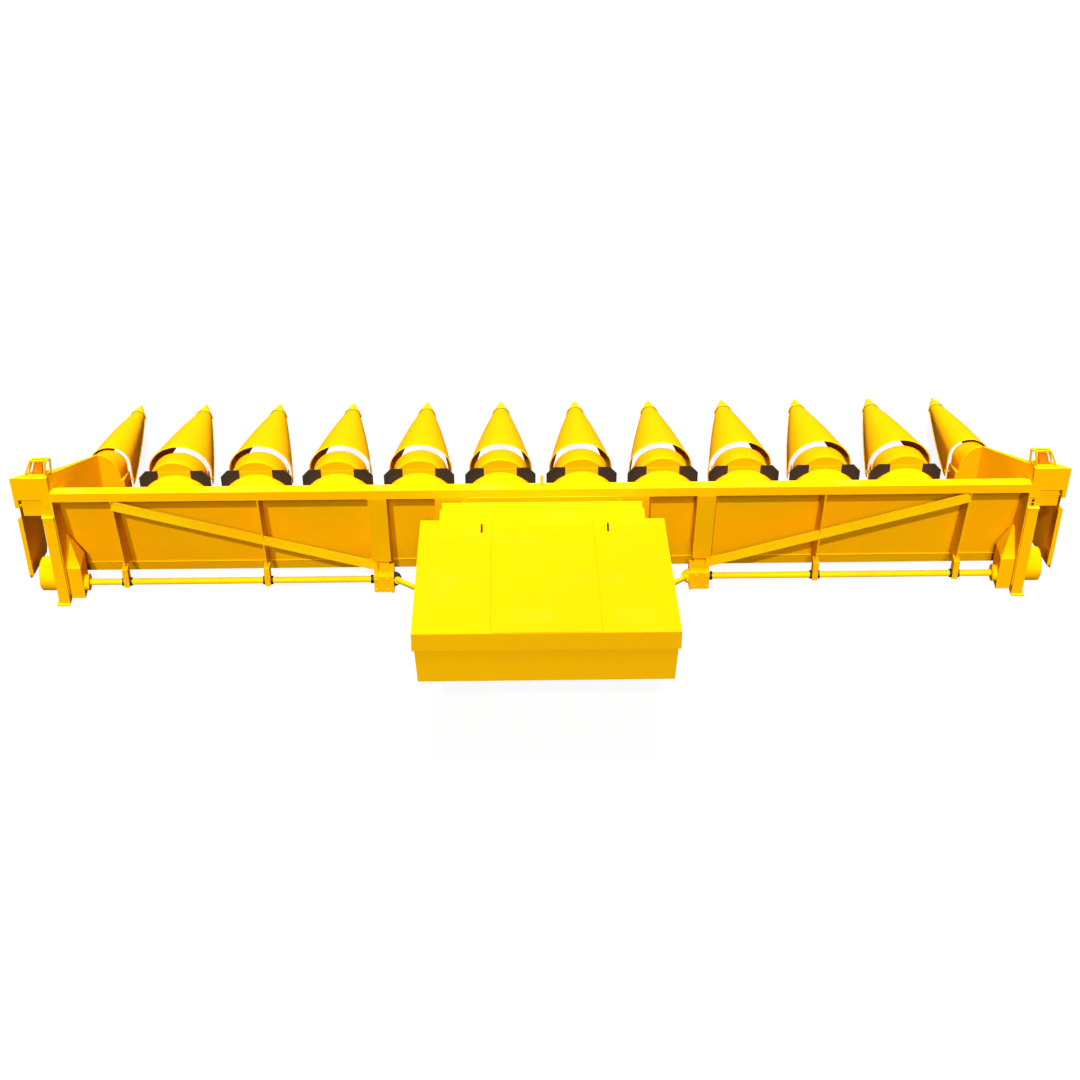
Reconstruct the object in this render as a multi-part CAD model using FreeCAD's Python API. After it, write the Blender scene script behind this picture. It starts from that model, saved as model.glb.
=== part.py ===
import FreeCAD, Part
import math
import os

# Maize header for a combine: a wide frame that carries eleven picking rows between twelve pointed
# dividers, a cross auger, the drive down both ends, and the crop housing at its centre.
# Millimetres. X runs across the machine, Y points forwards to the divider tips, Z is up. Every part
# is modelled with Y = 0 at the plane of the ear flaps and the floor at floor_z, and moved at the
# end, so that the origin lies on the floor under the middle of the whole machine.

V = FreeCAD.Vector

floor_z = 20.0                    # the floor that the parking feet and skids stand on

# ---- rows and dividers ---------------------------------------------------------------------
row_pitch = 750.0
row_count = 11
end_divider_inset = 86.0          # the end tips stand this much closer to their neighbours
snout_length = 1771.0             # from the snout's rear rim to its tip
snout_rear_y = 300.0
snout_half_width = 290.0
end_snout_half_width = 183.0
end_snout_drift = 27.0            # the end snout's rear stands this far inside its tip
snout_cap_half_width = 71.0
end_snout_cap_half_width = 62.0
snout_wall = 5.0
snout_cap_share = 0.875           # the tip cap starts at this share of the snout's length
snout_top_z = 1150.0
snout_rear_low_z = 690.0
snout_tip_z = 312.0
snout_swing_pin_y = 335.0
snout_swing_pin_z = 745.0
swing_pin_radius = 12.0
swing_pin_length = 45.0
swing_pin_clearance = 0.05        # from the corners of the many-sided pin to the hole's flats
joining_gap = 1.0                 # a pin held closer than this counts as carried by its hole

hood_half_width = 245.0
end_hood_half_width = 156.0       # of its round front rim
end_hood_drift = 19.0
end_hood_rear_y = 90.0
end_hood_rear_half_width = 178.0  # of its taller rear face, which leans away from the row
end_hood_rear_rise = 278.0
end_hood_top_z = 1228.0
end_hood_front_top_z = 1110.0
end_hood_ledge_rear_z = 930.0     # the ledge along its row side falls from here
end_hood_ledge_front_z = 842.0
hood_side_low_z = 770.0
hood_rise = 215.0
crown_facets = 10                 # hoods and dividers are pressed from sheet in this many flats
hood_wall = 4.0
hood_step_y = 5.0                 # rear face of the hood's upright step
hood_step_top_z = 1195.0
hood_front_top_z = 1073.0
hood_front_gap = 6.0              # the hood's front rim stands this far past the snout's rear rim
dome_half_width = 300.0
dome_length = 155.0
dome_top_z = 1049.0
dome_rear_top_z = 1015.0
dome_rise = 185.0
flap_span = 650.0
flap_thickness = 10.0
flap_top_z = 1104.0
flap_bottom_z = 850.0
flap_inner_x = 150.0
flap_chamfer = 75.0
flap_clearance = 4.0

seat_gap = 0.3                    # between pieces that are bolted face to face

# ---- frame ---------------------------------------------------------------------------------
beam_half_length = 4372.0
beam_rear_y = -600.0
beam_depth = 90.0
beam_height = 95.0
beam_wall = 6.0
beam_top_z = 1330.0
back_sheet_thickness = 6.0
back_sheet_top_y = -400.0
back_sheet_fold_y = -200.0
back_sheet_fold_z = 184.0
back_sheet_foot_y = -165.0
back_sheet_foot_z = 50.0
upright_x = 1477.0
upright_width = 168.0
upright_lean = 130.0              # how far its foot stands ahead of its head
upright_wall = 8.0
upright_foot_z = 395.0
outer_rib_x = 3852.0
inner_rib_x = 2545.0
rib_thickness = 15.0
brace_height = 90.0
brace_depth = 24.0
end_wall_thickness = 8.0
toolbar_size = 140.0
toolbar_wall = 8.0
toolbar_rear_y = 20.0
toolbar_low_z = 190.0

# ---- auger and trough ----------------------------------------------------------------------
auger_y = -50.0
auger_z = 560.0
auger_radius = 190.0
auger_tube_radius = 85.0
auger_turns = 7
auger_flight_thickness = 6.0
auger_centre_gap = 900.0          # length at the middle with paddles in place of flighting
auger_end_gap = 40.0
auger_stub_radius = 25.0
trough_clearance = 25.0
trough_thickness = 5.0
trough_front_angle = 22.0         # the trough's front lip ends this far below the auger's axis

# ---- row units -----------------------------------------------------------------------------
arm_thickness = 12.0
arm_row_offset = 118.0            # inner face of an arm from the middle of its row
deck_rear_y = 180.0
deck_rear_z = 500.0
deck_front_y = 760.0
deck_front_z = 215.0
deck_thickness = 8.0
deck_slot = 30.0
chain_height = 26.0
chain_radius = 32.0
roll_radius = 30.0
roll_knife = 12.0
roll_spacing = 90.0
row_gearbox_depth = 120.0
skid_thickness = 10.0

# ---- shafts --------------------------------------------------------------------------------
shaft_y = -475.0
shaft_z = 174.0
shaft_radius = 29.0
running_clearance = 0.05
input_clearance = 0.1             # round the slanting input shafts
gearbox_inner = 104.0             # from the upright's middle to its inner and outer faces
gearbox_outer = 80.0
gearbox_rear = 75.0               # from the shaft's axis to its rear and front faces
gearbox_front = 110.0
gearbox_low_z = 77.0
gearbox_top_z = 267.0
gearbox_flange = 30.0
gearbox_rim = 6.0                 # the flange stands this much outside the body
neck_inner_step = 45.0
neck_outer_step = 15.0
neck_overlap = 45.0
neck_reach = 55.0
sump_inner_step = 55.0
sump_outer_step = 12.0
sump_rear_step = 20.0
sump_front_step = 60.0
sump_depth = 20.0
guard_root_radius = 52.0
guard_end_radius = 36.0
guard_length = 70.0
guard_sink = 20.0
cross_shaft_seat = 70.0           # from the gearbox's inner face to the cross shaft's end
cross_shaft_reach = 40.0          # how far the cross shaft enters the chain case
shaft_end_gap = 5.0
input_overlap = 20.0
collar_start = 90.0
collar_width = 25.0
collar_step = 10.0
bearing_length = 20.0
bearing_radius = 40.0
hanger_width = 52.0
input_reach = 88.0                # the input shafts end this far inside the housing's sides
input_end_y = -1225.0
input_end_z = 650.0
input_radius = 24.0

# ---- ends ----------------------------------------------------------------------------------
post_size = 100.0
post_wall = 6.0
post_rear_y = -620.0
post_height = 1060.0
foot_width = 140.0
foot_length = 170.0
foot_thickness = 15.0
end_box_top_z = 1510.0
end_box_outer_x = 4707.0
end_box_inner_y = -500.0          # its front corners: the inner one, and the one where the
end_box_corner_x = 4580.0         # outer end starts to taper
end_box_corner_y = -528.0
drum_radius = 158.0
drum_y = -400.0
drum_z = 220.0
drum_inner_x = 4490.0
drum_outer_x = 4645.0
drum_chamfer = 10.0
drum_neck_radius = 70.0
drum_neck_overlap = 10.0
chain_case_inner_x = 4243.0
chain_case_top_z = 412.0
chain_case_low_z = 50.0
chain_case_rear_y = -560.0
chain_case_front_y = -330.0
chain_case_apex_z = 640.0
chain_case_apex_width = 14.0
chain_case_apex_depth = 22.0
case_flange_radius = 78.0
case_flange_length = 45.0
post_cap_thickness = 12.0
post_cap_lip = 5.0
foot_lip = 20.0                   # the foot stands out this far behind the post
stem_drop = 12.0
core_recess = 30.0
bracket_rise = 13.0
bracket_height = 25.0
bracket_depth = 10.0
bracket_root = 40.0
box_leg_depth = 22.0
inner_leg_depth = 30.0
guard_height = 160.0
guard_bar = 15.0
lamp_foot_height = 14.0
lamp_height = 128.0
head_recess = 14.0                # the head block stands this far inside the box's rear face
head_front_y = -515.0
head_outer_x = 4646.0
inner_leg_x = 4458.0
outer_leg_x = 4669.0
box_low_z = 1262.0
leg_low_z = 1170.0
panel_thickness = 6.0
panel_bracket_y = -480.0
panel_lip = 40.0

# ---- crop housing --------------------------------------------------------------------------
housing_front_y = -750.0
housing_rear_y = -2800.0
housing_top_front_z = 1109.0
housing_slope = 14.4              # degrees, rising to the rear
housing_half_width = 1088.0
housing_wall = 8.0
cover_flange = 188.0
body_inset = 12.0
body_taper = 24.0
housing_height = 535.0
hatch_half_width = 446.0
hatch_thickness = 9.0
throat_step = 170.0               # the housing is this much wider than the throat on each side
outlet_step = 288.0               # and this much wider than the outlet in its floor
outlet_rear_gap = 120.0
outlet_length = 440.0
outlet_depth = 250.0              # from the housing's top at its rear to the outlet's cut
fin_x = 557.0
fin_thickness = 16.0
fin_front = 135.0                 # from the housing's front edge to the fin
fin_length = 120.0
fin_high_rise = 62.0
fin_low_rise = 22.0
fin_sink = 2.0
socket_size = 84.0
socket_length = 70.0
socket_bore_reach = 60.0
seat_size = 80.0
seat_height = 120.0
throat_top_z = 1100.0
throat_low_z = 560.0

# ---- values worked out from those above ----------------------------------------------------
divider_count = row_count + 1
snout_tip_y = snout_rear_y + snout_length
centre_y = (snout_tip_y + housing_rear_y) / 2
auger_pitch = (beam_half_length - auger_end_gap - auger_centre_gap / 2 - 20.0) / auger_turns
beam_low_z = beam_top_z - beam_height
throat_half_width = housing_half_width - throat_step
input_end_x = housing_half_width - input_reach
end_wall_x = beam_half_length
post_x = end_wall_x + end_wall_thickness
head_low_z = post_height + post_cap_thickness
slope = math.tan(math.radians(housing_slope))
deck_slope = math.atan2(deck_rear_z - deck_front_z, deck_front_y - deck_rear_y)
swing_pin_sides = 8
while (swing_pin_radius * (1 - math.cos(math.pi / swing_pin_sides))
       + swing_pin_clearance >= joining_gap):
    swing_pin_sides += 2

os.makedirs("parts", exist_ok=True)


def save(name, *shapes):
    """Write one node: its solids, moved so that the origin is under the machine's middle."""
    solids = []
    for shape in shapes:
        solids += shape.Solids
    node = Part.makeCompound(solids) if len(solids) > 1 else solids[0]
    node.translate(V(0, -centre_y, -floor_z))
    node.exportStep("parts/" + name + ".step")


def mirrored(shape):
    """The same piece on the other side of the machine."""
    return shape.mirror(V(0, 0, 0), V(1, 0, 0))


def both(shape):
    """A piece and its mirror image."""
    return Part.makeCompound([shape, mirrored(shape)])


def block(x0, x1, y0, y1, z0, z1):
    """A plain block between two corners."""
    return Part.makeBox(x1 - x0, y1 - y0, z1 - z0, V(x0, y0, z0))


def side_plate(outline, x0, x1):
    """An outline in the Y-Z plane, made x1 - x0 thick."""
    points = [V(x0, y, z) for y, z in outline]
    face = Part.Face(Part.makePolygon(points + points[:1]))
    return face.extrude(V(x1 - x0, 0, 0))


def cross_plate(outline, y0, y1):
    """An outline in the X-Z plane, made y1 - y0 thick."""
    points = [V(x, y0, z) for x, z in outline]
    face = Part.Face(Part.makePolygon(points + points[:1]))
    return face.extrude(V(0, y1 - y0, 0))


def rod(start, end, radius):
    """A round bar between two points."""
    return Part.makeCylinder(radius, (end - start).Length, start, end - start)


def swing_pin(x0, x1, radius):
    """The many-sided form of a divider's pivot pin or hole, from x0 to x1."""
    outline = []
    for n in range(swing_pin_sides):
        turn = 2 * math.pi * n / swing_pin_sides
        outline.append((snout_swing_pin_y + radius * math.cos(turn),
                        snout_swing_pin_z + radius * math.sin(turn)))
    return side_plate(outline, x0, x1)


def bar(start, end, width, height):
    """A square-cut bar between two points, its width level."""
    along = (end - start).normalize()
    level = V(0, 0, 1).cross(along).normalize()
    upright = along.cross(level)
    corners = []
    for side, rise in ((-1, -1), (1, -1), (1, 1), (-1, 1)):
        corners.append(start + level * (side * width / 2) + upright * (rise * height / 2))
    face = Part.Face(Part.makePolygon(corners + corners[:1]))
    return face.extrude(end - start)


def joined(shapes):
    """One solid from pieces that meet."""
    whole = shapes[0].fuse(shapes[1:]) if len(shapes) > 1 else shapes[0]
    return whole.removeSplitter()


def between(rings):
    """A solid skinned with flat faces over several rings of as many corners."""
    faces = [Part.Face(Part.makePolygon(ring + ring[:1])) for ring in (rings[0], rings[-1])]
    for near, far in zip(rings[:-1], rings[1:]):
        for a in range(len(near)):
            b = (a + 1) % len(near)
            corners = [near[a], near[b], far[b], far[a]]
            normal = (corners[1] - corners[0]).cross(corners[3] - corners[0]).normalize()
            if abs(normal.dot(corners[2] - corners[0])) < 1e-4:
                sets = [corners]
            else:
                sets = [corners[:3], [corners[0], corners[2], corners[3]]]
            for points in sets:
                faces.append(Part.Face(Part.makePolygon(points + points[:1])))
    solid = Part.Solid(Part.makeShell(faces))
    if solid.Volume < 0:
        solid.reverse()
    return solid


def arch(x, y, half_width, low_z, spring_z, top_z):
    """Corners of an arch across the machine: upright sides and a crown in flats."""
    rise = top_z - spring_z
    radius = (half_width ** 2 + rise ** 2) / (2 * rise)
    reach = math.acos((radius - rise) / radius)
    points = [V(x - half_width, y, low_z)]
    for n in range(crown_facets + 1):
        turn = -reach + 2 * reach * n / crown_facets
        points.append(V(x + radius * math.sin(turn), y, top_z - radius + radius * math.cos(turn)))
    points.append(V(x + half_width, y, low_z))
    return points


def arch_shell(stations, wall, rear_wall=0.0):
    """An open-bottomed hood between two arches, each (x, y, half_width, low, spring, top)."""
    reach = 1.0
    outside = [arch(*station) for station in stations]
    inside = []
    for station, shift in zip(stations, (rear_wall or -reach, reach)):
        x, y, half_width, low, spring, top = station
        inside.append(arch(x, y + shift, half_width - wall, low - wall - reach, spring,
                           top - wall))
    return between(outside).cut(between(inside))


def row_centres():
    """X of every row."""
    first = -(row_count - 1) / 2 * row_pitch
    return [first + n * row_pitch for n in range(row_count)]


def divider_centres():
    """X of every divider, the end ones drawn in."""
    first = -row_count / 2 * row_pitch
    places = [first + n * row_pitch for n in range(divider_count)]
    places[0] += end_divider_inset
    places[-1] -= end_divider_inset
    return places


# ---- frame ---------------------------------------------------------------------------------
def back_sheet_y(z):
    """Y of the back sheet's rear surface at a height."""
    high = beam_low_z - back_sheet_thickness
    share = (high - z) / (high - back_sheet_fold_z)
    return back_sheet_top_y + share * (back_sheet_fold_y - back_sheet_top_y)


def rib_rear_y(z):
    """Y of the leaning rear edge shared by the uprights, ribs and braces."""
    return beam_rear_y + upright_lean * (beam_low_z - z) / (beam_low_z - 300.0)


def make_top_beam():
    """The rectangular tube along the top, with the sight plate at its middle."""
    length = beam_half_length
    rear = beam_rear_y
    tube = block(-length, length, rear, rear + beam_depth, beam_low_z, beam_top_z)
    bore = block(-length, length, rear + beam_wall, rear + beam_depth - beam_wall,
                 beam_low_z + beam_wall, beam_top_z - beam_wall)
    sight_width = 27.0
    sight_height = 122.0
    sight = block(-sight_width / 2, sight_width / 2, rear + 45.0, rear + 53.0,
                  beam_top_z - beam_wall, beam_top_z + sight_height)
    save("top_beam", joined([tube.cut(bore), sight]))


def make_back_sheet():
    """The folded sheet behind the auger, with the window to the crop housing."""
    t = back_sheet_thickness
    outline = [
        (-560.0, beam_low_z), (-560.0, beam_low_z - t), (back_sheet_top_y, beam_low_z - t),
        (back_sheet_fold_y, back_sheet_fold_z), (back_sheet_foot_y, back_sheet_foot_z),
        (back_sheet_foot_y + t, back_sheet_foot_z), (back_sheet_fold_y + t, back_sheet_fold_z),
        (back_sheet_top_y + t, beam_low_z - t), (back_sheet_top_y + t, beam_low_z),
    ]
    sheet = side_plate(outline, -end_wall_x, end_wall_x)
    side = throat_half_width - housing_wall
    window = block(-side, side, beam_rear_y, 0.0,
                   throat_low_z + housing_wall, throat_top_z - housing_wall)
    save("back_sheet", sheet.cut(window))


def make_uprights():
    """Two box columns between the beam and the gearboxes, following the sheet."""
    half = upright_width / 2

    def column(inset, x0, x1):
        low = upright_foot_z
        high = beam_low_z - back_sheet_thickness
        outline = [(rib_rear_y(high) + inset, high), (rib_rear_y(low) + inset, low),
                   (back_sheet_y(low) - inset, low), (back_sheet_y(high) - inset, high)]
        return side_plate(outline, x0, x1)

    outer = column(0.0, upright_x - half, upright_x + half)
    inner = column(upright_wall, upright_x - half + upright_wall, upright_x + half - upright_wall)
    head = block(upright_x - half, upright_x + half, beam_rear_y, -560.0,
                 beam_low_z - back_sheet_thickness, beam_low_z)
    save("uprights", both(joined([outer.cut(inner), head])))


def brace_solid():
    """One diagonal from under the beam's outer end down to the upright's foot."""
    outer_z = beam_low_z - brace_height * 0.62 - 8.0
    inner_z = 306.0
    half = brace_depth / 2
    start = V(outer_rib_x, rib_rear_y(outer_z) + half, outer_z)
    end = V(upright_x, rib_rear_y(inner_z) + half, inner_z)
    whole = bar(start, end, brace_depth, brace_height)
    beyond = block(0.0, upright_x + upright_width / 2 - 40.0, -700.0, -200.0, 0.0, beam_top_z)
    seat = block(upright_x, upright_x + gearbox_outer, -700.0, -200.0, 0.0, gearbox_top_z)
    post = block(0.0, upright_x + upright_width / 2, -700.0, -200.0, upright_foot_z, beam_top_z)
    return whole.cut(beyond).cut(seat).cut(post)


def make_ribs(brace):
    """Thin ribs on the back sheet, each ending in the block that hangs a shaft bearing."""
    ribs = []
    hanger_low_z = 142.0
    hanger_high_z = 352.0
    hanger_front_y = shaft_y + 50.0
    for x in (outer_rib_x, inner_rib_x):
        high = beam_low_z - back_sheet_thickness
        low = 300.0
        outline = [(rib_rear_y(high), high), (rib_rear_y(low), low),
                   (hanger_front_y, low), (back_sheet_y(235.0), 235.0),
                   (back_sheet_y(high), high)]
        plate = side_plate(outline, x - rib_thickness / 2, x + rib_thickness / 2)
        head = block(x - rib_thickness / 2, x + rib_thickness / 2, beam_rear_y, -560.0,
                     beam_low_z - back_sheet_thickness, beam_low_z)
        hanger = block(x - hanger_width / 2, x + hanger_width / 2, shaft_y - 50.0,
                       hanger_front_y, hanger_low_z, hanger_high_z)
        bore = rod(V(x - hanger_width, shaft_y, shaft_z), V(x + hanger_width, shaft_y, shaft_z),
                   bearing_radius)
        ribs.append(joined([plate, head, hanger]).cut(bore).cut(brace))
    save("shaft_ribs", both(Part.makeCompound(ribs)))


def make_toolbar():
    """The square tube under the trough that the row units bolt to."""
    y0 = toolbar_rear_y
    y1 = y0 + toolbar_size
    z0 = toolbar_low_z
    z1 = z0 + toolbar_size
    w = toolbar_wall
    tube = block(-end_wall_x, end_wall_x, y0, y1, z0, z1)
    bore = block(-end_wall_x, end_wall_x, y0 + w, y1 - w, z0 + w, z1 - w)
    save("toolbar", tube.cut(bore))


def trough_point(radius, angle):
    """A point of the trough's round, its angle measured down from the front level."""
    turn = math.radians(angle)
    return V(-end_wall_x, auger_y + radius * math.cos(turn), auger_z - radius * math.sin(turn))


def make_trough():
    """The round trough under the auger, from the back sheet to its front lip."""
    inner = auger_radius + trough_clearance
    outer = inner + trough_thickness
    rear_angle = 180.0 - 8.0
    middle = (trough_front_angle + rear_angle) / 2
    edges = [
        Part.Arc(trough_point(inner, trough_front_angle), trough_point(inner, middle),
                 trough_point(inner, rear_angle)).toShape(),
        Part.makeLine(trough_point(inner, rear_angle), trough_point(outer, rear_angle)),
        Part.Arc(trough_point(outer, rear_angle), trough_point(outer, middle),
                 trough_point(outer, trough_front_angle)).toShape(),
        Part.makeLine(trough_point(outer, trough_front_angle),
                      trough_point(inner, trough_front_angle)),
    ]
    face = Part.Face(Part.Wire(edges))
    trough = face.extrude(V(2 * end_wall_x, 0, 0))
    behind = [(back_sheet_y(z) + back_sheet_thickness, z) for z in (900.0, 200.0)]
    behind += [(-700.0, 200.0), (-700.0, 900.0)]
    save("auger_trough", trough.cut(side_plate(behind, -end_wall_x, end_wall_x)))


def make_end_walls():
    """The end sheets that close the trough and carry beam, toolbar and auger."""
    outline = [(-600.0, beam_top_z), (-600.0, 130.0), (-520.0, 60.0), (-120.0, 40.0),
               (190.0, 150.0), (215.0, 520.0), (120.0, 900.0), (-60.0, 1120.0),
               (-430.0, beam_top_z)]
    wall = side_plate(outline, end_wall_x, end_wall_x + end_wall_thickness)
    journal = rod(V(end_wall_x - 1.0, auger_y, auger_z), V(post_x + 1.0, auger_y, auger_z),
                  auger_stub_radius + running_clearance)
    save("end_walls", both(wall.cut(journal)))


# ---- auger ---------------------------------------------------------------------------------
def flight(start_x, turns, hand):
    """One helical flight of flat sectors round the auger tube, its turn given by hand."""
    sectors = 10
    root = auger_tube_radius / math.cos(math.pi / sectors) + seat_gap
    half = auger_flight_thickness / 2

    def edge(n):
        """The four corners of the flight's section at its n-th sector edge."""
        turn = hand * 2 * math.pi * n / sectors
        middle = start_x + auger_pitch * n / sectors
        across = V(0, math.cos(turn), math.sin(turn))
        axis = V(middle, auger_y, auger_z)
        return [axis + across * root - V(half, 0, 0), axis + across * auger_radius - V(half, 0, 0),
                axis + across * auger_radius + V(half, 0, 0), axis + across * root + V(half, 0, 0)]

    def facet(*corners):
        return Part.Face(Part.makePolygon(list(corners) + [corners[0]]))

    count = int(turns * sectors)
    faces = [facet(*edge(0)), facet(*edge(count))]
    for n in range(count):
        near, far = edge(n), edge(n + 1)
        for a in range(4):
            b = (a + 1) % 4
            faces.append(facet(near[a], near[b], far[b]))
            faces.append(facet(near[a], far[b], far[a]))
    solid = Part.Solid(Part.makeShell(faces))
    if solid.Volume < 0:
        solid.reverse()
    return solid


def make_auger():
    """The cross auger: a tube with left and right flighting that feeds to the middle."""
    end = end_wall_x - auger_end_gap
    tube = rod(V(-end, auger_y, auger_z), V(end, auger_y, auger_z), auger_tube_radius)
    stub = rod(V(-post_x, auger_y, auger_z), V(post_x, auger_y, auger_z), auger_stub_radius)
    half_gap = auger_centre_gap / 2
    flights = flight(half_gap, auger_turns, 1)
    tube = tube.fuse(stub)
    for turn in (35.0, 215.0):
        paddle = block(-half_gap + 60.0, half_gap - 60.0, auger_y - 4.0, auger_y + 4.0,
                       auger_z + auger_tube_radius - 4.0, auger_z + auger_radius - 15.0)
        paddle.rotate(V(0, auger_y, auger_z), V(1, 0, 0), turn)
        tube = tube.fuse(paddle)
    save("auger", tube, flights, mirrored(flights))


# ---- row units -----------------------------------------------------------------------------
def deck_z(y):
    """Height of the deck plates' top along their slope."""
    return deck_rear_z - (y - deck_rear_y) * math.tan(deck_slope)


def arm_outline():
    """Side view of a row-unit arm: bolted foot, the divider's ear, sloping arm and nose."""
    foot_y = toolbar_rear_y + toolbar_size
    rise = 14.0
    return [
        (foot_y, toolbar_low_z - 5.0), (foot_y, deck_z(foot_y) + rise), (200.0, 590.0),
        (205.0, 805.0), (375.0, 805.0), (395.0, 520.0), (450.0, deck_z(450.0) + rise),
        (deck_front_y, deck_front_z + rise), (800.0, 150.0),
        (745.0, floor_z + skid_thickness), (560.0, floor_z + skid_thickness), (300.0, 150.0),
    ]


def swing_pins():
    """A pivot pin for each wall of each divider: X of its inner and outer ends."""
    pins = []
    for x in divider_centres():
        half = snout_half_width
        if abs(x) == divider_centres()[-1]:
            half = end_snout_half_width
            x -= math.copysign(end_snout_drift, x)
        for side in (-1, 1):
            pins.append((x + side * (half - swing_pin_length), x + side * (half + 6.0)))
    return pins


def make_row_frames():
    """Two arms a row with the gearbox block between them and an arm at each end, with the
    stub pins on their ears that the dividers swing on."""
    foot_y = toolbar_rear_y + toolbar_size
    gear_top = deck_z(foot_y + row_gearbox_depth) - deck_thickness - 2.0
    gear_half = arm_row_offset - seat_gap
    arms = []
    frames = []
    for x in row_centres():
        for side in (-1, 1):
            faces = (x + side * arm_row_offset, x + side * (arm_row_offset + arm_thickness))
            arms.append((min(faces), max(faces)))
        frames.append(block(x - gear_half, x + gear_half, foot_y, foot_y + row_gearbox_depth,
                            gear_top - 190.0, gear_top))
    end_x = divider_centres()[-1] - end_hood_drift + end_hood_half_width - hood_wall
    arms += [(end_x - arm_thickness, end_x), (-end_x, -end_x + arm_thickness)]
    for x0, x1 in arms:
        pieces = [side_plate(arm_outline(), x0, x1)]
        for near, far in swing_pins():
            start, end = min(near, far), max(near, far)
            if start < x1 and end > x0:
                pieces.append(swing_pin(start, end, swing_pin_radius))
        frames.append(joined(pieces))
    save("row_frames", *frames)


def make_decks():
    """The two sloping deck plates of each row, with the slot for the stalks between them."""
    plates = []
    y0 = deck_rear_y
    y1 = deck_front_y
    t = deck_thickness
    outline = [(y0, deck_z(y0)), (y1, deck_z(y1)), (y1, deck_z(y1) - t), (y0, deck_z(y0) - t)]
    for x in row_centres():
        for side in (-1, 1):
            near = x + side * deck_slot / 2
            far = x + side * arm_row_offset
            plates.append(side_plate(outline, min(near, far), max(near, far)))
    save("deck_plates", *plates)


def on_deck(shape, x, y, lift):
    """Lay a piece modelled flat at the origin on the deck's slope at row position x, y."""
    shape.rotate(V(0, 0, 0), V(1, 0, 0), -math.degrees(deck_slope))
    shape.translate(V(x, y, deck_z(y) + lift / math.cos(deck_slope)))
    return shape


def chain_loop():
    """One gathering chain round its guide, flat at the origin and running to +Y."""
    length = 470.0
    points = []
    for y, first in ((length, 0), (0.0, 180)):
        for n in range(5):
            turn = math.radians(first + 45 * n)
            points.append(V(chain_radius * math.cos(turn), y + chain_radius * math.sin(turn), 0))
    return Part.Face(Part.makePolygon(points + points[:1])).extrude(V(0, 0, chain_height))


def make_chains():
    """A gathering chain on each deck plate."""
    loops = []
    for x in row_centres():
        for side in (-1, 1):
            middle = x + side * (deck_slot / 2 + 24.0 + chain_radius + 6.0)
            loops.append(on_deck(chain_loop(), middle, 225.0, 0.0))
    save("gathering_chains", *loops)


def roll_section(y, reach, core):
    """A stalk roll's cross-section: a core with four knives, as an eight-pointed outline."""
    points = []
    for n in range(8):
        turn = math.radians(45 * n)
        radius = core if n % 2 else reach
        points.append(V(radius * math.cos(turn), y, radius * math.sin(turn)))
    return points


def make_rolls():
    """The pair of stalk rolls under each row, knived along most of their length, with a worm
    nose that draws in towards the tip."""
    rolls = []
    foot_y = toolbar_rear_y + toolbar_size
    start_y = foot_y + row_gearbox_depth
    drop = deck_thickness + roll_radius + roll_knife + 22.0
    length = 430.0
    nose = 70.0
    reach = roll_radius + roll_knife
    sections = [roll_section(0.0, reach, roll_radius * 0.72),
                roll_section(length, reach, roll_radius * 0.72),
                roll_section(length + nose, reach * 0.35, roll_radius * 0.72 * 0.35)]
    roll = between(sections)
    roll.rotate(V(0, 0, 0), V(1, 0, 0), -math.degrees(deck_slope))
    for x in row_centres():
        gearbox = block(x - arm_row_offset, x + arm_row_offset, start_y - 100.0, start_y,
                        0.0, 600.0)
        for side in (-1, 1):
            piece = roll.copy()
            piece.translate(V(x + side * roll_spacing / 2, start_y - 12.0,
                              deck_z(start_y) - drop))
            rolls.append(piece.cut(gearbox))
    save("stalk_rolls", *rolls)


def make_skids():
    """The curved skid under each row's nose that the front of the header parks on."""
    skids = []
    t = skid_thickness
    low = floor_z
    outer = [(440.0, 92.0), (557.0, low), (750.0, low), (810.0, 153.0)]
    inner = [(801.0, 157.0), (743.0, low + t), (561.0, low + t), (446.0, 101.0)]
    reach = arm_row_offset + arm_thickness
    for x in row_centres():
        shoe = side_plate(outer + inner, x - reach, x + reach)
        arms = side_plate(arm_outline(), x - reach, x - arm_row_offset)
        skids.append(shoe.cut(arms).cut(side_plate(arm_outline(), x + arm_row_offset, x + reach)))
    save("skid_shoes", *skids)


# ---- dividers ------------------------------------------------------------------------------
def make_snout(half_width, cap_half, drift):
    """One divider point round X = 0: a tapering open-bottomed shell, its tip cap and the pivot
    holes. Its rear may stand off to the side of its tip by the drift."""
    cap_y = snout_rear_y + snout_cap_share * snout_length
    cap_top = snout_tip_z + 95.0
    cap_low = snout_tip_z + 12.0
    rear = (-drift, snout_rear_y, half_width, snout_rear_low_z, snout_top_z - half_width,
            snout_top_z)
    base = (0.0, cap_y, cap_half, cap_low, cap_top - cap_half, cap_top)
    shell = arch_shell((rear, base), snout_wall)
    cap_half += 8.0
    cap_top += 16.0
    nose = 34.0
    point = 7.0
    cap = between([
        arch(0.0, cap_y - 22.0, cap_half, cap_low - 6.0, cap_top - cap_half, cap_top),
        arch(0.0, snout_tip_y - 60.0, nose, snout_tip_z - 14.0, snout_tip_z, snout_tip_z + nose),
        arch(0.0, snout_tip_y, point, snout_tip_z - 8.0, snout_tip_z, snout_tip_z + point)])
    reach = half_width + drift + 20.0
    hole = swing_pin(-reach, reach, (swing_pin_radius + swing_pin_clearance)
                     / math.cos(math.pi / swing_pin_sides))
    corner = side_plate([(snout_rear_y - 5.0, snout_rear_low_z - 30.0),
                         (snout_rear_y - 5.0, snout_rear_low_z + 25.0),
                         (snout_rear_y + 40.0, snout_rear_low_z - 30.0)], -reach, reach)
    return shell.fuse(cap).cut(hole).cut(corner)


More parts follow.
